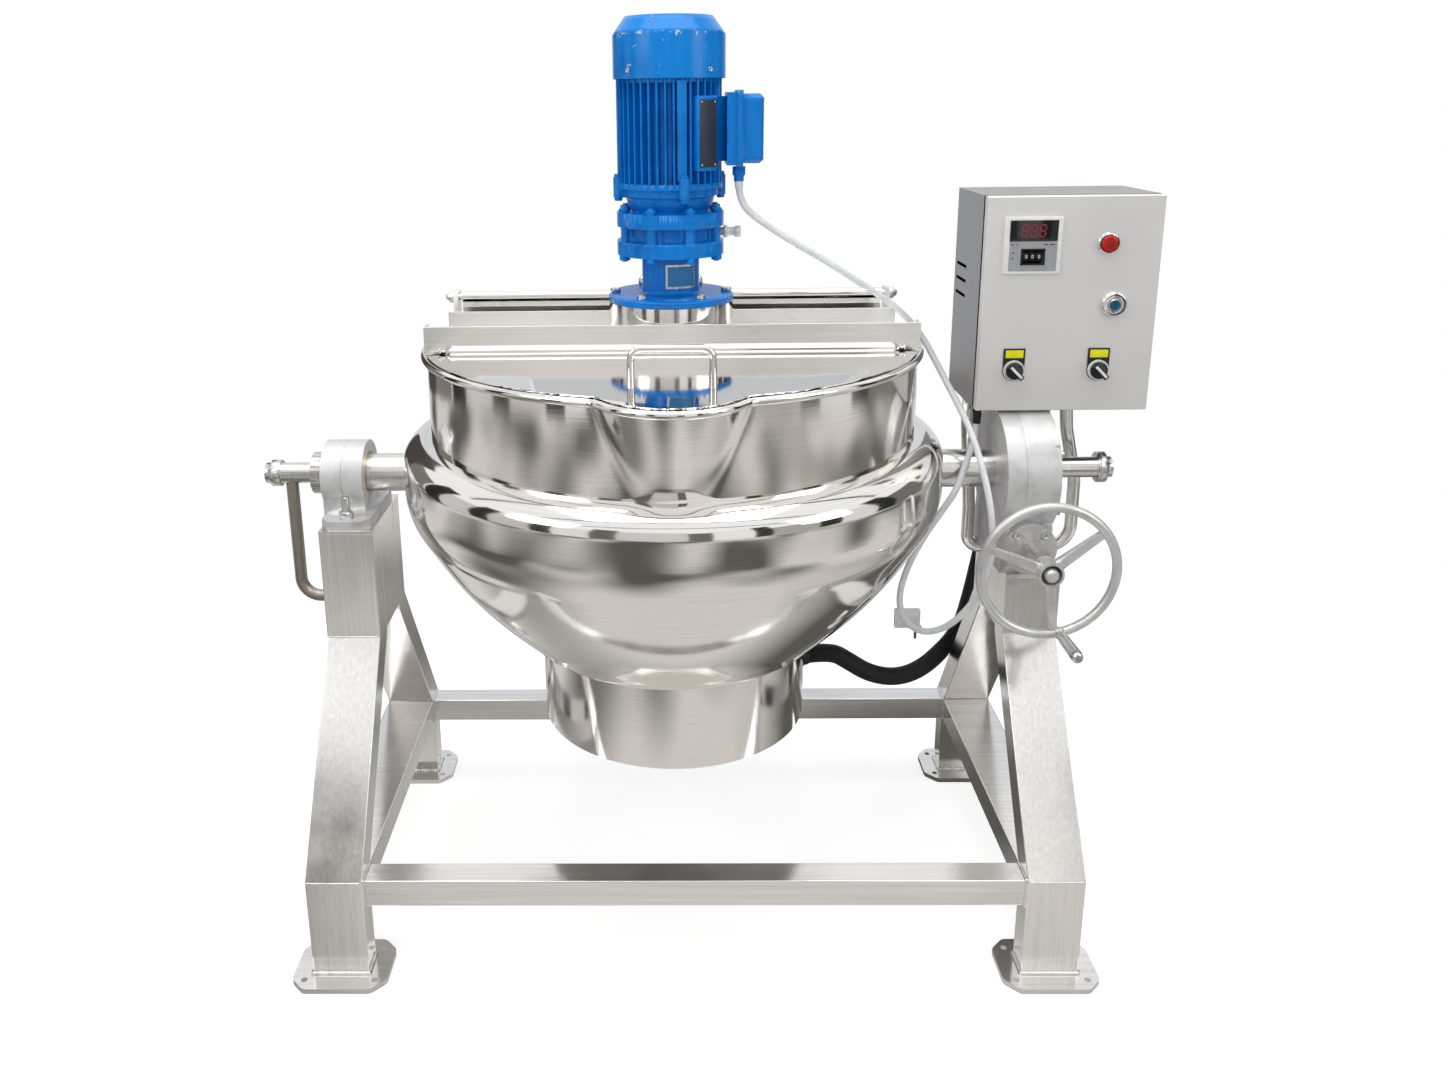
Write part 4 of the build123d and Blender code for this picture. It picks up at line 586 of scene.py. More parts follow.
def pot_shell():
    """Pot with its spout: a bowl and a wall, pushed out where the spout is."""
    wall_rows = [EQUATOR_Z + (RIM_Z - EQUATOR_Z) * step / WALL_ROWS for step in range(WALL_ROWS + 1)]
    angles = [step / BOWL_ROWS * math.pi / 2 for step in range(BOWL_ROWS)]
    bowl = [(math.sin(angle), -math.cos(angle)) for angle in angles]
    outside = POT_RADIUS + SHEET
    outer = [(outside * across, EQUATOR_Z + (POT_DEPTH + SHEET) * down) for across, down in bowl]
    inner = [(POT_RADIUS * across, EQUATOR_Z + POT_DEPTH * down) for across, down in bowl]
    profile = outer + [(outside, height) for height in wall_rows]
    profile += [(POT_RADIUS, height) for height in reversed(wall_rows)] + inner[::-1]
    piece = spun("pot_shell", profile, 440, "inner_pot", steel_wall)
    for vertex in piece.data.vertices:
        x, y, z = vertex.co.x - AXIS_X, vertex.co.y, vertex.co.z * 1000
        reach = math.hypot(x, y) * 1000
        if z < DOME_BOTTOM or reach < POT_RADIUS - 1 or y > 0:
            continue
        angle = math.atan2(y, x)
        grow = SHEET if reach > POT_RADIUS + SHEET / 2 else 0
        moved = pot_reach(angle, z, POT_RADIUS + grow, grow) / 1000
        vertex.co.x = AXIS_X + moved * math.cos(angle)
        vertex.co.y = moved * math.sin(angle)
    piece.data.update()


def mouth_line(grow, steps=720):
    """Points of the mouth at a distance outside its inner edge."""
    points = []
    for step in range(steps):
        angle = 2 * math.pi * step / steps - math.pi / 2
        reach = pot_reach(angle, RIM_Z, POT_RADIUS + grow, grow)
        points.append((MID_X + reach * math.cos(angle), reach * math.sin(angle), RIM_Z))
    return points


def round_bar(name, places, radius, fineness, closed, ripple=0.0):
    """Round bar along points, plain or rippled like a weld."""
    curve = bpy.data.curves.new(name, "CURVE")
    curve.dimensions = "3D"
    curve.bevel_depth = radius / 1000
    curve.bevel_resolution = fineness
    spline = curve.splines.new("POLY")
    spline.points.add(len(places) - 1)
    for number, (place, spot) in enumerate(zip(places, spline.points)):
        spot.co = (*(Vector(place) / 1000), 1)
        spot.radius = 1 + ripple * (2 * math.cos(number * math.pi * 0.75) + math.sin(number * 1.9))
    spline.use_cyclic_u = closed
    placed(name, curve)
    bpy.ops.object.convert(target="MESH")
    bpy.ops.object.shade_smooth()
    return bpy.context.object


pot_shell()
settle(round_bar("rim_bead", mouth_line(BEAD), BEAD, 5, True), "rim_bead", "inner_pot", steel_round)


# Small pieces, with places and sizes in millimetres

def metres(*values):
    """Point or size from millimetres."""
    return Vector([value / 1000 for value in values])


def fresh(name):
    """Puts the newest primitive's place, turn and size into its mesh."""
    piece = bpy.context.object
    piece.name = name
    bpy.ops.object.transform_apply(location=True, rotation=True, scale=True)
    return piece


def sharp_block(name, low, high):
    """Plain block between two corners."""
    bpy.ops.object.select_all(action="DESELECT")
    low, high = metres(*low), metres(*high)
    bpy.ops.mesh.primitive_cube_add(size=1, location=(low + high) / 2)
    bpy.context.object.scale = high - low
    return fresh(name)


def soft_block(name, low, high, edge, node, finish, segments=3):
    """Block between two corners with rounded edges."""
    piece = sharp_block(name, low, high)
    bevelled(piece, edge, segments, 35)
    smooth_by(35)
    return settle(piece, name, node, finish)


WAYS = {
    # direction, and the turn that brings an upright piece to it
    "x": ((1, 0, 0), (0, math.pi / 2, 0)),
    "y": ((0, 1, 0), (-math.pi / 2, 0, 0)),
    "-y": ((0, -1, 0), (math.pi / 2, 0, 0)),
    "z": ((0, 0, 1), (0, 0, 0)),
    "-z": ((0, 0, -1), (math.pi, 0, 0)),
}


def stepped(name, place, way, radius, depth, steps, edge, node, finish, sides=48):
    """Round piece that stands on a place; its end face is inset and raised or sunk in steps (inset, rise)."""
    bpy.ops.object.select_all(action="DESELECT")
    direction, turn = WAYS[way]
    direction = Vector(direction)
    bpy.ops.mesh.primitive_cylinder_add(vertices=sides, radius=radius / 1000, depth=depth / 1000,
                                        location=metres(*place) + direction * depth / 2000, rotation=turn)
    piece = fresh(name)
    edit_some(piece, "FACE", lambda face: face.normal.dot(direction) > FACING)
    for inset, rise in steps:
        if inset:
            bpy.ops.mesh.inset(thickness=inset / 1000)
        if rise:
            bpy.ops.mesh.extrude_region_move(TRANSFORM_OT_translate={"value": direction * rise / 1000})
    end_edit()
    bevelled(piece, edge, 3, 35)
    smooth_by(35)
    return settle(piece, name, node, finish)


RIPPLE_STEP = 1.5


def weld_bead(name, points, radius, node, closed=True):
    """Rippled bead along straight runs between points."""
    line = []
    ends = points + [points[0]] if closed else points
    for first, second in zip(ends, ends[1:]):
        count = max(int(math.dist(first, second) / RIPPLE_STEP), 1)
        line += [Vector(first).lerp(Vector(second), step / count) for step in range(count)]
    settle(round_bar(name, line, radius, 2, closed, 0.08), name, node, weld_steel)


def lettered(name, text, size, place, node, finish):
    """Raised numeral that faces the front."""
    bpy.ops.object.select_all(action="DESELECT")
    bpy.ops.object.text_add(location=metres(*place), rotation=(math.pi / 2, 0, 0))
    words = bpy.context.object.data
    words.body = text
    words.size = size / 1000
    words.extrude = 0.0001
    words.align_x = "CENTER"
    words.align_y = "CENTER"
    bpy.ops.object.convert(target="MESH")
    return settle(fresh(name), name, node, finish)


# Control box: door, controller, lamp, lock and switches
DOOR_FRONT = -25.0
DOOR_BACK = -13.0
DOOR_SHEET = 2.0
DOOR_FOLD = 2.2
BOX_LEFT, BOX_RIGHT = 419.0, 667.0
BOX_BOTTOM, BOX_TOP = 765.0, 1075.0


def door_tray():
    """Door folded from sheet, with rounded folds, an open back and an opening for the controller."""
    piece = sharp_block("door_tray", (BOX_LEFT, DOOR_FRONT, BOX_BOTTOM), (BOX_RIGHT, DOOR_BACK, BOX_TOP))
    back = DOOR_BACK / 1000
    edit_some(piece, "EDGE", lambda edge: not all(abs(vertex.co.y - back) < 1e-6 for vertex in edge.verts))
    bpy.ops.mesh.bevel(offset=DOOR_FOLD / 1000, segments=4)
    edit_some(piece, "FACE", lambda face: face.normal.y > FACING)
    bpy.ops.mesh.delete(type="FACE")
    end_edit()
    wall = piece.modifiers.new("sheet", "SOLIDIFY")
    wall.thickness = DOOR_SHEET / 1000
    wall.offset = -1
    applied(piece, wall)
    cutter = sharp_block("controller_opening", (451, DOOR_FRONT - 4, 972), (519, DOOR_FRONT + 4, 1040))
    opening = piece.modifiers.new("opening", "BOOLEAN")
    opening.operation = "DIFFERENCE"
    opening.object = cutter
    applied(piece, opening)
    bpy.data.objects.remove(cutter)
    smooth_by(35)
    even_out(piece)
    return settle(piece, "door_tray", "box_door", door_sheet, ("box_door",))


door_tray()
for number, height in enumerate((BOX_BOTTOM + 45, BOX_TOP - 45)):
    for half, low in enumerate((height - 7.5, height + 5.0)):
        tag = f"{number}_{half}"
        stepped(f"door_ear_eye_{tag}", (423, -12.5, low), "z", 2.4, 2.5, (), 0.3, "box_door", door_sheet, 24)
        soft_block(f"door_ear_{tag}", (420.6, -14.9, low), (423.4, -13.2, low + 2.5), 0.3, "box_door",
                   door_sheet)

FIELD_FRONT, FIELD_BACK = -30.5, -29.0
soft_block("display_window", (451.5, FIELD_FRONT, 1012.6), (518.5, FIELD_BACK, 1041.8), 0.35, "controller",
           display_black)


def front_bars(name, bars, front, back, edge, finish, segments):
    """Flat bars on the controller's face, from their corners (x, z)."""
    for tag, low, high in bars:
        soft_block(f"{name}_{tag}", (low[0], front, low[1]), (high[0], back, high[1]), edge, "controller",
                   finish, segments)


front_bars("controller_field", (
    ("top", (451.5, 1002.2), (518.5, 1011.9)), ("bottom", (451.5, 970.6), (518.5, 979.0)),
    ("left", (451.5, 979.0), (468.0, 1002.2)), ("right", (502.0, 979.0), (518.5, 1002.2)),
), FIELD_FRONT, FIELD_BACK, 0.05, grey_plastic, 1)
front_bars("number_frame", (
    ("top", (468, 1000.0), (502, 1002.2)), ("bottom", (468, 979.0), (502, 981.0)),
    ("left", (468, 979.0), (470.6, 1002.2)), ("right", (499.4, 979.0), (502, 1002.2)),
), -31.2, -29.2, 0.2, black_plastic, 2)
for number in range(2):
    stepped(f"controller_lamp_{number}", (456.5, FIELD_FRONT, 996.5 - 8.5 * number), "-y", 1.2, 0.5, (), 0.15,
            "controller", plate_dark, 16)
marks = [(number, (left, 1007.2), (left + wide, 1008.6))
         for number, (left, wide) in enumerate(((453.5, 4), (460.5, 3), (500, 5), (508, 7)))]
front_bars("controller_mark", marks, -30.7, -30.4, 0.05, plate_dark, 1)

CONTROLLER_X = 485.0
DIGIT_Z = 1027.0
DIGIT_TALL, DIGIT_WIDE = 18.5, 9.6
DIGIT_BAR = 2.1
DIGIT_GAP = 0.35
DIGIT_SLANT = 0.09
SEGMENTS = (
    # left, right, bottom and top as shares of the digit
    (0, 1, 1, 1), (0, 1, 0.5, 0.5), (0, 1, 0, 0), (0, 0, 0.5, 1), (1, 1, 0.5, 1), (0, 0, 0, 0.5),
    (1, 1, 0, 0.5),
)
half = DIGIT_BAR / 2
for number, offset in enumerate((-13.0, -0.6, 12.0)):
    for part, (left, right, bottom, top) in enumerate(SEGMENTS):
        x0, x1 = (CONTROLLER_X + offset + (share - 0.5) * (DIGIT_WIDE - DIGIT_BAR) for share in (left, right))
        z0, z1 = (DIGIT_Z + (share - 0.5) * (DIGIT_TALL - DIGIT_BAR) for share in (bottom, top))
        grow_x, grow_z = (half, -half - DIGIT_GAP) if left == right else (-half * 0.2, half)
        piece = soft_block(f"digit_{number}_{part}", (x0 - grow_x, -30.75, z0 - grow_z),
                           (x1 + grow_x, -30.4, z1 + grow_z), 0.12, "controller", digit_red, 1)
        for vertex in piece.data.vertices:
            vertex.co.x += (vertex.co.z - DIGIT_Z / 1000) * DIGIT_SLANT
for number in range(3):
    place = (CONTROLLER_X + (number - 1) * 9.0, -29.62, 990.5)
    lettered(f"wheel_numeral_{number + 1}", "0", 7.0, place, f"number_wheel_{number + 1}", white_plastic)

LAMP_X, LAMP_Z = 591, 1008
LOCK_X, LOCK_Z = 606, 921
SWITCH_Z = 826
stepped("lamp_ring", (LAMP_X, -28, LAMP_Z), "-y", 12.9, 3.4, ((1.2, 0), (0.4, -0.8)), 0.3, "controller",
        black_plastic)
stepped("lamp_core", (LAMP_X, -34.0, LAMP_Z), "-y", 5.2, 0.35, ((1.6, 0.0),), 0.1, "controller",
        lens_core, 32)
stepped("lock_rose_dome", (LOCK_X, DOOR_FRONT, LOCK_Z), "-y", 18.2, 2.6,
        ((0.8, 1.6), (1.6, 1.3), (3.2, 1.0), (2.4, -0.6)), 0.5, "controller", chrome, 64)
stepped("lock_core", (LOCK_X, -32.0, LOCK_Z), "-y", 7.6, 1.1, ((1.4, -0.5),), 0.3, "lock_barrel",
        lock_blue, 40)
soft_block("lock_key_slot", (LOCK_X - 0.8, -33.3, LOCK_Z - 4.2), (LOCK_X + 0.8, -32.4, LOCK_Z + 4.2), 0.15,
           "lock_barrel", plate_dark, 2)
for name, x in (("switch_left", 470.0), ("switch_right", 591.0)):
    soft_block(f"{name}_plate", (x - 15.5, -26.9, SWITCH_Z - 2), (x + 15.5, DOOR_FRONT, SWITCH_Z + 32), 0.5,
               "box_door", black_plastic)
    stepped(f"{name}_plate_end", (x, DOOR_FRONT, SWITCH_Z - 0.5), "-y", 15.6, 1.88, (), 0.5, "box_door",
            black_plastic)
    soft_block(f"{name}_label", (x - 12.8, -27.2, SWITCH_Z + 18.4), (x + 12.8, -26.7, SWITCH_Z + 29.6), 0.12,
               "box_door", label_yellow)
    stepped(f"{name}_collar", (x, -26.5, SWITCH_Z), "-y", 15.0, 3.9, ((1.9, 0.0), (0.0, -0.9)), 0.5,
            "controller", white_plastic)
    pointer = soft_block(f"{name}_pointer", (x - 1.9, -43.5, SWITCH_Z - 11.4),
                         (x + 1.9, -42.85, SWITCH_Z + 11.4), 0.2, name, white_plastic)
    lobe = soft_block(f"{name}_lobe", (x - 4.0, -40.0, SWITCH_Z - 15.0),
                      (x + 4.0, -31.0, SWITCH_Z - 9.0), 1.2, name, black_plastic)
    turn_about = Matrix.Translation(metres(x, 0, SWITCH_Z)) @ Matrix.Rotation(math.radians(-45), 4, "Y")
    for piece in (pointer, lobe):
        piece.data.transform(turn_about @ Matrix.Translation(metres(-x, 0, -SWITCH_Z)))


# Motor and reducer

def on_kettle(piece, degrees):
    """Turns a finished piece, modelled at the front, about the kettle axis."""
    centre = Vector((AXIS_X, 0, 0))
    piece.data.transform(Matrix.Translation(centre) @ Matrix.Rotation(math.radians(degrees), 4, "Z")
                         @ Matrix.Translation(-centre))


PLATE_TURN = 43


def stator_block(name, half, front, back, bottom, top, edge, finish, degrees):
    """Block on the motor's housing, turned to its place."""
    piece = soft_block(name, (MID_X - half, front, bottom), (MID_X + half, back, top), edge, "motor_stator",
                       finish)
    on_kettle(piece, degrees)


stator_block("name_plate_boss", 19, -76.6, -58, 1116, 1216, 2.5, blue_paint, PLATE_TURN)
stator_block("name_plate", 16, -77.4, -76.2, 1121, 1211, 0.3, plate_dark, PLATE_TURN)
for number, (x, height) in enumerate(((-12.5, 1124.5), (12.5, 1124.5), (-12.5, 1207.5), (12.5, 1207.5))):
    on_kettle(stepped(f"name_plate_rivet_{number}", (MID_X + x, -77.3, height), "-y", 1.5, 0.8, (), 0.4,
                      "motor_stator", bolt_steel, 16), PLATE_TURN)
stator_block("front_rib", 6.5, -75.4, -60, 1104, 1236, 1.2, blue_paint, 13)


NECK_PLATE_TURN = 22


def neck_plate(name, radius, thick, bottom, top, arc, finish):
    """Thin plate that follows the reducer's neck."""
    start = math.radians(NECK_PLATE_TURN - 90 - arc / 2)
    profile = ((radius, bottom), (radius + thick, bottom), (radius + thick, top), (radius, top))
    points = [(AXIS_X + r / 1000 * math.cos(start), r / 1000 * math.sin(start), z / 1000) for r, z in profile]
    piece = turned_piece(name, points, [(0, 1, 2, 3)], [], 24, -math.radians(arc), 30)
    settle(piece, name, "reducer_base", finish)


neck_plate("neck_plate", 41.2, 0.9, 952, 986, 64, bolt_steel)
neck_plate("neck_plate_field", 42.0, 0.35, 955, 983, 56, plate_field)
for number, degrees in enumerate((135, 225, 315, 45)):
    on_kettle(stepped(f"cowl_screw_{number}", (MID_X, -77.6, 1250), "-y", 3.4, 1.4, ((0.9, 0.0), (0.0, -0.5)),
                      0.4, "fan_cowl", bolt_steel, 24), degrees)
for number, (y, z) in enumerate(((-34, 1131), (10, 1131), (-34, 1212), (10, 1212))):
    stepped(f"terminal_screw_{number}", (MID_X + 127.6, y, z), "x", 3.2, 1.4, ((0.9, 0.0), (0.0, -0.6)), 0.3,
            "terminal_box", bolt_steel, 20)
stepped("cable_sleeve_top", (72, -22, 1100.5), "-z", 6.2, 3.0, ((0.3, 4.0), (0.45, 4.0)), 0.4,
        "kettle_glands", cable_white, 32)
stepped("cable_sleeve_box", (430, 4, 751.5), "-z", 6.2, 3.0, ((0.3, 5.0), (0.35, 5.0)), 0.4, "box_glands",
        black_plastic, 32)

# White clip on the loop of cable
soft_block("clip_foot", (304, -88.0, 455), (328, -81.0, 479), 2.2, "cable_clip", white_plastic)
stepped("clip_eye", (337, -94.5, 452), "y", 5.4, 8.0, ((1.6, 0.0), (0.6, -1.2)), 0.5, "cable_clip",
        white_plastic, 32)
soft_block("clip_tail", (331.5, -88.0, 433), (335.5, -85.2, 449), 0.8, "cable_clip", tail_brown)

# Weld beads of the stand
LEG_X = 503.0
FOOT_Y = 257
RAIL_Y = 251
SIDE_Y = 236.6
RAIL_LOW, RAIL_HIGH = 115.6, 156.4
for side, side_name in ((-1, "left"), (1, "right")):
    for end, end_name in ((-1, "front"), (1, "rear")):
        tag = f"{side_name}_{end_name}"
        leg = f"legs_{side_name}"
        left, right = side * LEG_X - 40.5, side * LEG_X + 40.5
        near, far = end * FOOT_Y - 20.5, end * FOOT_Y + 20.5
        foot = [(left, near, 9.2), (right, near, 9.2), (right, far, 9.2), (left, far, 9.2)]
        weld_bead(f"foot_weld_{tag}", foot, 2.6, leg)
        x = side * (LEG_X - 40.4)
        near, far = end * RAIL_Y - 20.4, end * RAIL_Y + 20.4
        rail = [(x, near, RAIL_LOW), (x, far, RAIL_LOW), (x, far, RAIL_HIGH), (x, near, RAIL_HIGH)]
        weld_bead(f"rail_weld_{tag}", rail, 2.0, leg)
        y, high = end * SIDE_Y, RAIL_HIGH - 0.2
        side_weld = [(left, y, RAIL_LOW), (right, y, RAIL_LOW), (right, y, high), (left, y, high)]
        weld_bead(f"side_weld_{tag}", side_weld, 2.0, leg)
        for height, depth, part in ((157.0, 277.0, "low"), (438.0, 83.0, "high")):
            seam = [(left + 2, end * depth, height), (right - 2, end * depth, height)]
            weld_bead(f"bend_weld_{part}_{tag}", seam, 1.1, leg, closed=False)


# Cables

cable_route = [
    (72, -22, 1100), (72, -22, 1072),
    (99, -17, 1046), (148, -6, 1014), (205, 10, 980), (262, 30, 942), (314, 50, 906), (354, 66, 864),
    (381, 44, 812), (400, 6, 770), (409, -30, 745), (416, -60, 716), (422, -92, 680), (427, -116, 636),
    (428, -127, 588), (420, -130, 541), (399, -126, 498), (370, -118, 464), (338, -106, 451),
    (313, -90, 465), (309, -74, 496), (323, -60, 536), (346, -51, 578), (371, -49, 617),
    (392, -50, 652), (404, -38, 680), (417, -18, 700), (430, 4, 722), (430, 4, 751),
]
turn = math.radians(16)
conduit_route = [(MID_X + reach * math.cos(turn), reach * math.sin(turn), 332) for reach in (224, 268)]
conduit_route += [
    (266, 92, 304), (306, 116, 268), (356, 142, 246),
    (404, 174, 244), (450, 217, 256), (486, 226, 302), (493, 206, 368), (492, 168, 438), (492, 138, 504),
    (492, 120, 586), (492, 116, 680), (492, 116, 749),
]


def route_line(name, points):
    """Close points along the spline that runs by a route's control points."""
    curve = bpy.data.curves.new(name, "CURVE")
    curve.dimensions = "3D"
    curve.resolution_u = 64
    spline = curve.splines.new("NURBS")
    spline.points.add(len(points) - 1)
    for spot, point in zip(spline.points, points):
        spot.co = (point[0] / 1000, point[1] / 1000, point[2] / 1000, 1)
    spline.order_u = 3
    spline.use_endpoint_u = True
    guide = bpy.data.objects.new(name, curve)
    line = [vertex.co.copy() for vertex in bpy.data.meshes.new_from_object(guide).vertices]
    bpy.data.objects.remove(guide)
    return line


WAVE = (0, 0.35, 1, 1, 0.35)


def hose(name, points, radius, depth, pitch, node, finish, sides=28, rides=True):
    """Smooth or corrugated hose: rings along the points of its route's own spline."""
    line = route_line(name + "_guide", points)
    lengths = [0.0]
    for first, second in zip(line, line[1:]):
        lengths.append(lengths[-1] + (second - first).length)
    count = int(lengths[-1] / (pitch / len(WAVE) / 1000))
    tube = bmesh.new()
    normal = Vector((0, 0, 1))
    rings = []
    index = 0
    for number in range(count + 1):
        reach = lengths[-1] * number / count
        while index < len(line) - 2 and lengths[index + 1] < reach:
            index += 1
        share = (reach - lengths[index]) / max(lengths[index + 1] - lengths[index], 1e-9)
        place = line[index].lerp(line[index + 1], share)
        along = (line[min(index + 2, len(line) - 1)] - line[max(index - 1, 0)]).normalized()
        normal = (normal - along * normal.dot(along)).normalized()
        across = along.cross(normal)
        size = (radius - depth * (1 - WAVE[number % len(WAVE)])) / 1000
        rings.append([tube.verts.new(place + (normal * math.cos(a) + across * math.sin(a)) * size)
                      for a in (2 * math.pi * side / sides for side in range(sides))])
    for first, second in zip(rings, rings[1:]):
        for side in range(sides):
            after = (side + 1) % sides
            tube.faces.new((first[side], first[after], second[after], second[side]))
    tube.faces.new(rings[0][::-1])
    tube.faces.new(rings[-1])
    bmesh.ops.recalc_face_normals(tube, faces=tube.faces)
    mesh = bpy.data.meshes.new(name)
    tube.to_mesh(mesh)
    tube.free()
    piece = placed(name, mesh)
    smooth_by(50)
    return settle(piece, name, node, finish, (node,), rides), line


motor_cable, cable_line = hose("motor_cable_sheath", cable_route, 4.8, 0, 10.0, "motor_cable", cable_white,
                               20, False)
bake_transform(motor_cable)
conduit, conduit_line = hose("conduit_hose", conduit_route, 15.0, 2.0, 4.8, "conduit", conduit_black)


# Stage, lamps and camera

def glow(tree, colour, strength):
    """Plain light."""
    return result(tree, "Emission", Color=(*colour, 1), Strength=strength)


def mixed_shader(tree, share, first, second):
    """Shader between two others."""
    return result(tree, "MixShader", share, first, second)


def plain_tree(owner, kind):
    """Emptied node tree of a material or world, with its output."""
    owner.use_nodes = True
    owner.node_tree.nodes.clear()
    return owner.node_tree, add(owner.node_tree, kind)


FLOOR_SIZE = 16
FLOOR_Z = -0.0005


def studio_floor():
    """Pale floor: white to the camera except where the object shades it, warm grey in the polished steel."""
    bpy.ops.mesh.primitive_plane_add(size=FLOOR_SIZE, location=(0, 0, FLOOR_Z))
    floor = bpy.context.object
    floor.name = "studio_floor"
    made = bpy.data.materials.new("pale_floor")
    tree, output = plain_tree(made, "OutputMaterial")
    matte = result(tree, "BsdfDiffuse", Color=(0.60, 0.60, 0.60, 1))
    lit = result(tree, "AddShader", matte, glow(tree, (1, 1, 1), 0.70))
    point = add(tree, "TexCoord").outputs["Object"]
    reach = add(tree, "VectorMath", point, operation="LENGTH").outputs["Value"]
    far = spread(tree, reach, 0.0, 1.0, (1.1, 2.2))
    shown = mixed_shader(tree, far, lit, glow(tree, (1, 1, 1), 1.0))
    path = add(tree, "LightPath").outputs
    seen = mixed_shader(tree, path["Is Camera Ray"], matte, shown)
    patches = noise(tree, point, 0.9, 1.0, 0.4)
    colour = tint(tree, patches, (0.11, 0.105, 0.095), (0.70, 0.68, 0.65), (0.38, 0.60))
    mirrored = result(tree, "Emission", colour, Strength=1.0)
    final = mixed_shader(tree, path["Is Glossy Ray"], seen, mirrored)
    tree.links.new(final, output.inputs["Surface"])
    floor.data.materials.append(made)


def reflected_panel(name, place_of, colour, strength):
    """Glowing panel that only the polished steel reflects; its corners go where place_of puts them."""
    bpy.ops.mesh.primitive_plane_add(size=1)
    panel = bpy.context.object
    panel.name = name
    for vertex in panel.data.vertices:
        vertex.co = place_of(vertex.co.x, vertex.co.y)
    made = bpy.data.materials.new(name + "_colour")
    tree, output = plain_tree(made, "OutputMaterial")
    tree.links.new(glow(tree, colour, strength), output.inputs["Surface"])
    panel.data.materials.append(made)
    for use in ("camera", "diffuse", "shadow", "transmission"):
        setattr(panel, "visible_" + use, False)


def softbox(name, place, aim_height, size, size_y, power, mirrored=True):
    """Rectangular lamp that faces the kettle's axis."""
    data = bpy.data.lights.new(name, "AREA")
    data.energy = power
    data.shape = "RECTANGLE"
    data.size = size
    data.size_y = size_y
    lamp = placed(name, data)
    lamp.location = place
    aim = Vector((0, 0, aim_height))
    lamp.rotation_euler = (aim - Vector(place)).to_track_quat("-Z", "Y").to_euler()
    lamp.visible_glossy = mirrored


studio_floor()
HALL_REACH = 3.4
HALL_BOTTOM = -0.1
OVERLAP = 0.9
hall = (
    # middle direction in degrees from the front, width in degrees, top, colour, strength
    (-8, 26, 2.1, (0.80, 0.77, 0.74), 0.86),
    (9.5, 7, 1.9, (0.34, 0.31, 0.28), 0.5),
    (22, 17, 2.3, (0.92, 0.91, 0.90), 1.0),
    (33, 5, 2.4, (0.10, 0.09, 0.085), 0.5),
    (46, 20, 1.7, (0.62, 0.59, 0.56), 0.7),
    (60, 8, 2.6, (0.07, 0.065, 0.06), 0.5),
    (74, 18, 2.2, (0.86, 0.86, 0.87), 0.9),
    (88, 9, 2.6, (0.05, 0.05, 0.05), 0.5),
    (104, 20, 2.0, (0.30, 0.28, 0.26), 0.6),
    (122, 10, 2.6, (0.05, 0.05, 0.05), 0.5),
    (-26, 8, 2.4, (0.30, 0.27, 0.25), 0.5),
    (-38, 15, 2.0, (0.88, 0.87, 0.85), 0.95),
    (-50, 7, 2.5, (0.08, 0.075, 0.07), 0.5),
    (-64, 18, 2.2, (0.74, 0.71, 0.68), 0.8),
    (-78, 8, 2.6, (0.06, 0.055, 0.05), 0.5),
    (-92, 18, 2.1, (0.80, 0.80, 0.80), 0.8),
    (-107, 10, 2.6, (0.05, 0.05, 0.05), 0.5),
    (-124, 18, 1.9, (0.34, 0.32, 0.30), 0.6),
    (137, 20, 2.4, (0.16, 0.13, 0.125), 0.6),
    (156, 16, 2.2, (0.82, 0.84, 0.87), 0.9),
    (-142, 18, 2.4, (0.12, 0.10, 0.095), 0.6),
    (-160, 16, 2.2, (0.80, 0.82, 0.86), 0.9),
    (178, 24, 2.0, (0.74, 0.76, 0.80), 0.8),
)
for number, (direction, wide, top, colour, strength) in enumerate(hall):
    width = 2 * HALL_REACH * math.tan(math.radians(wide / 2 + OVERLAP))
    turn = Matrix.Rotation(math.radians(direction), 3, "Z")
    middle, tall = (HALL_BOTTOM + top) / 2, top - HALL_BOTTOM
    reflected_panel(f"hall_panel_{number}",
                    lambda x, y: turn @ Vector((x * width, -HALL_REACH, middle + y * tall)), colour, strength)
BEAM_Z = 2.9
BEAM_LENGTH = 7
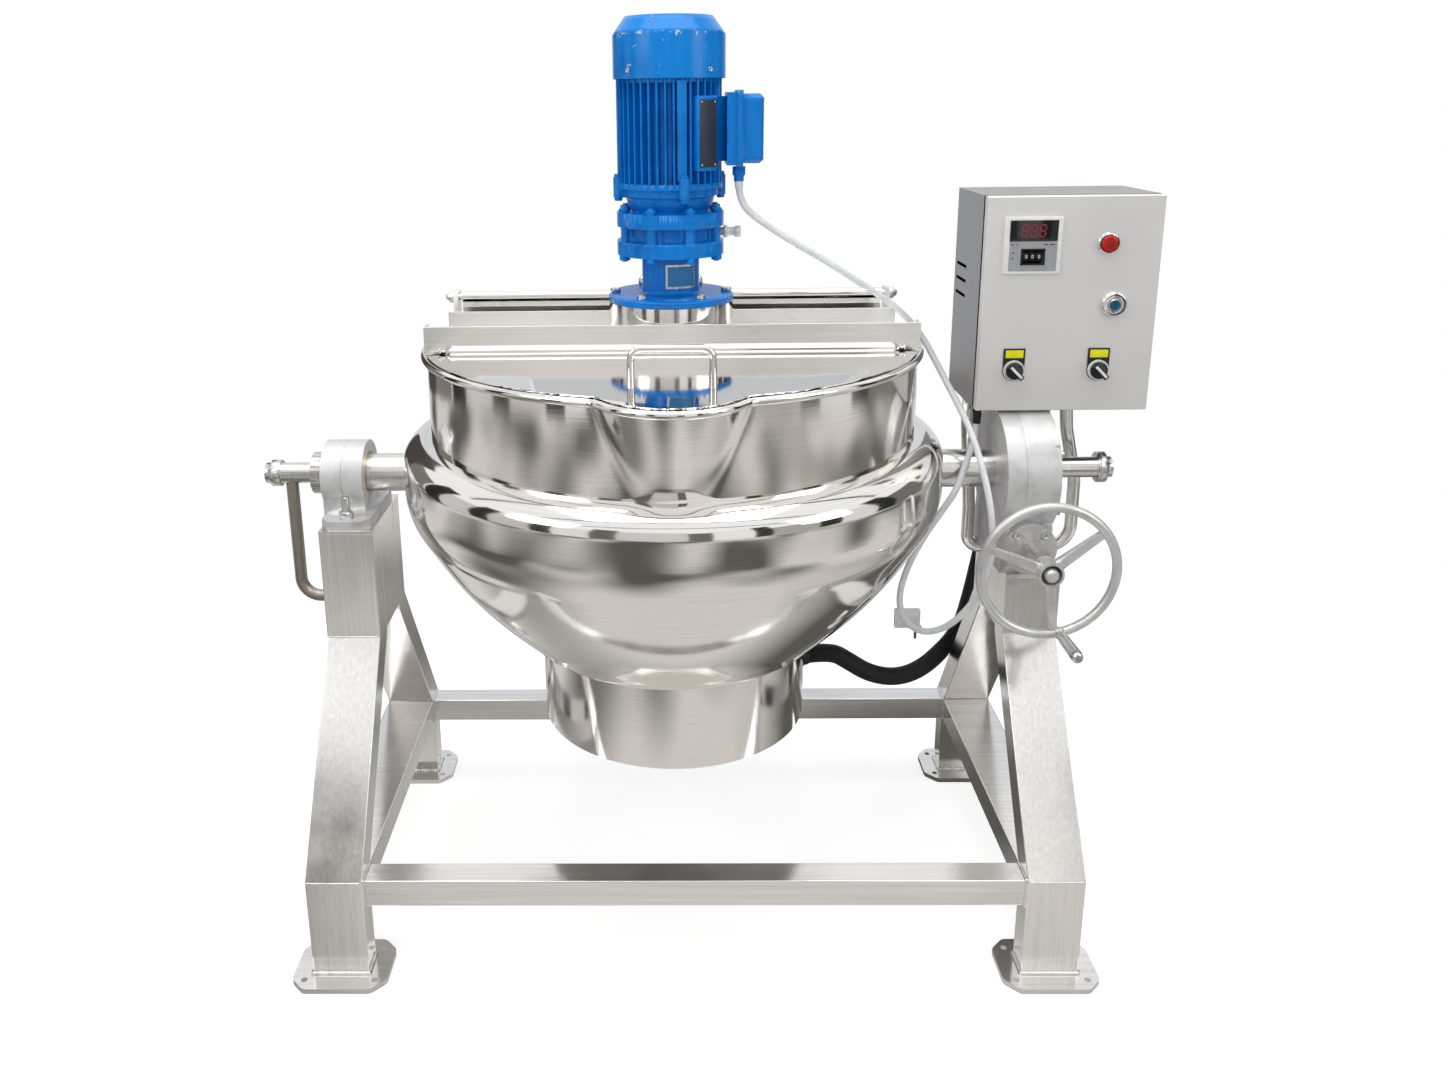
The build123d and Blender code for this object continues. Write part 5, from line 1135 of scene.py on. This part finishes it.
for number, (middle, wide) in enumerate(((-2.5, 0.16), (-1.3, 0.10), (0.4, 0.14))):
    reflected_panel(f"hall_beam_{number}", lambda x, y: Vector((x * BEAM_LENGTH, middle + y * wide, BEAM_Z)),
                    (0.06, 0.06, 0.06), 0.5)
softbox("lamp_above", (0.0, -0.3, 3.2), 0.8, 2.6, 2.2, 54)
softbox("lamp_left", (-2.6, -1.9, 2.1), 0.7, 1.5, 1.8, 30)
softbox("lamp_right", (2.7, -1.6, 1.9), 0.7, 1.3, 1.8, 20)
softbox("lamp_front", (0.3, -3.6, 2.6), 0.7, 1.8, 0.8, 17, mirrored=False)

world = bpy.data.worlds.new("studio")
bpy.context.scene.world = world
sky, sky_out = plain_tree(world, "OutputWorld")
fill = result(sky, "Background", Color=(0.95, 0.97, 1.0, 1), Strength=0.36)
white = result(sky, "Background", Color=(1, 1, 1, 1), Strength=1.0)
path = add(sky, "LightPath").outputs
seen = path["Is Camera Ray"]
for ray in ("Is Glossy Ray", "Is Transmission Ray"):
    seen = result(sky, "Math", seen, path[ray], operation="MAXIMUM")
sky.links.new(mixed_shader(sky, seen, fill, white), sky_out.inputs["Surface"])

camera_data = bpy.data.cameras.new("camera")
camera_data.sensor_width = 36
camera_data.lens = 28.72
camera_data.shift_x = 0.0508
camera_data.shift_y = -0.0991
camera_data.clip_start = 0.05
camera_data.clip_end = 60
camera = placed("camera", camera_data)
pitch, yaw, roll = (math.radians(degrees) for degrees in (14.70, -1.017, 0.743))
level_right = Vector((math.cos(yaw), -math.sin(yaw), 0))
level_ahead = Vector((math.sin(yaw), math.cos(yaw), 0))
up = Vector((0, 0, 1))
ahead = level_ahead * math.cos(pitch) - up * math.sin(pitch)
down = -(up * math.cos(pitch) + level_ahead * math.sin(pitch))
right_axis = level_right * math.cos(roll) + down * math.sin(roll)
down_axis = -level_right * math.sin(roll) + down * math.cos(roll)
turned = Matrix((right_axis, -down_axis, -ahead)).transposed()
camera.matrix_world = Matrix.Translation((-0.0262, -1.6596, 1.2156)) @ turned.to_4x4()
bpy.context.scene.camera = camera
bpy.context.scene.view_settings.view_transform = "Standard"
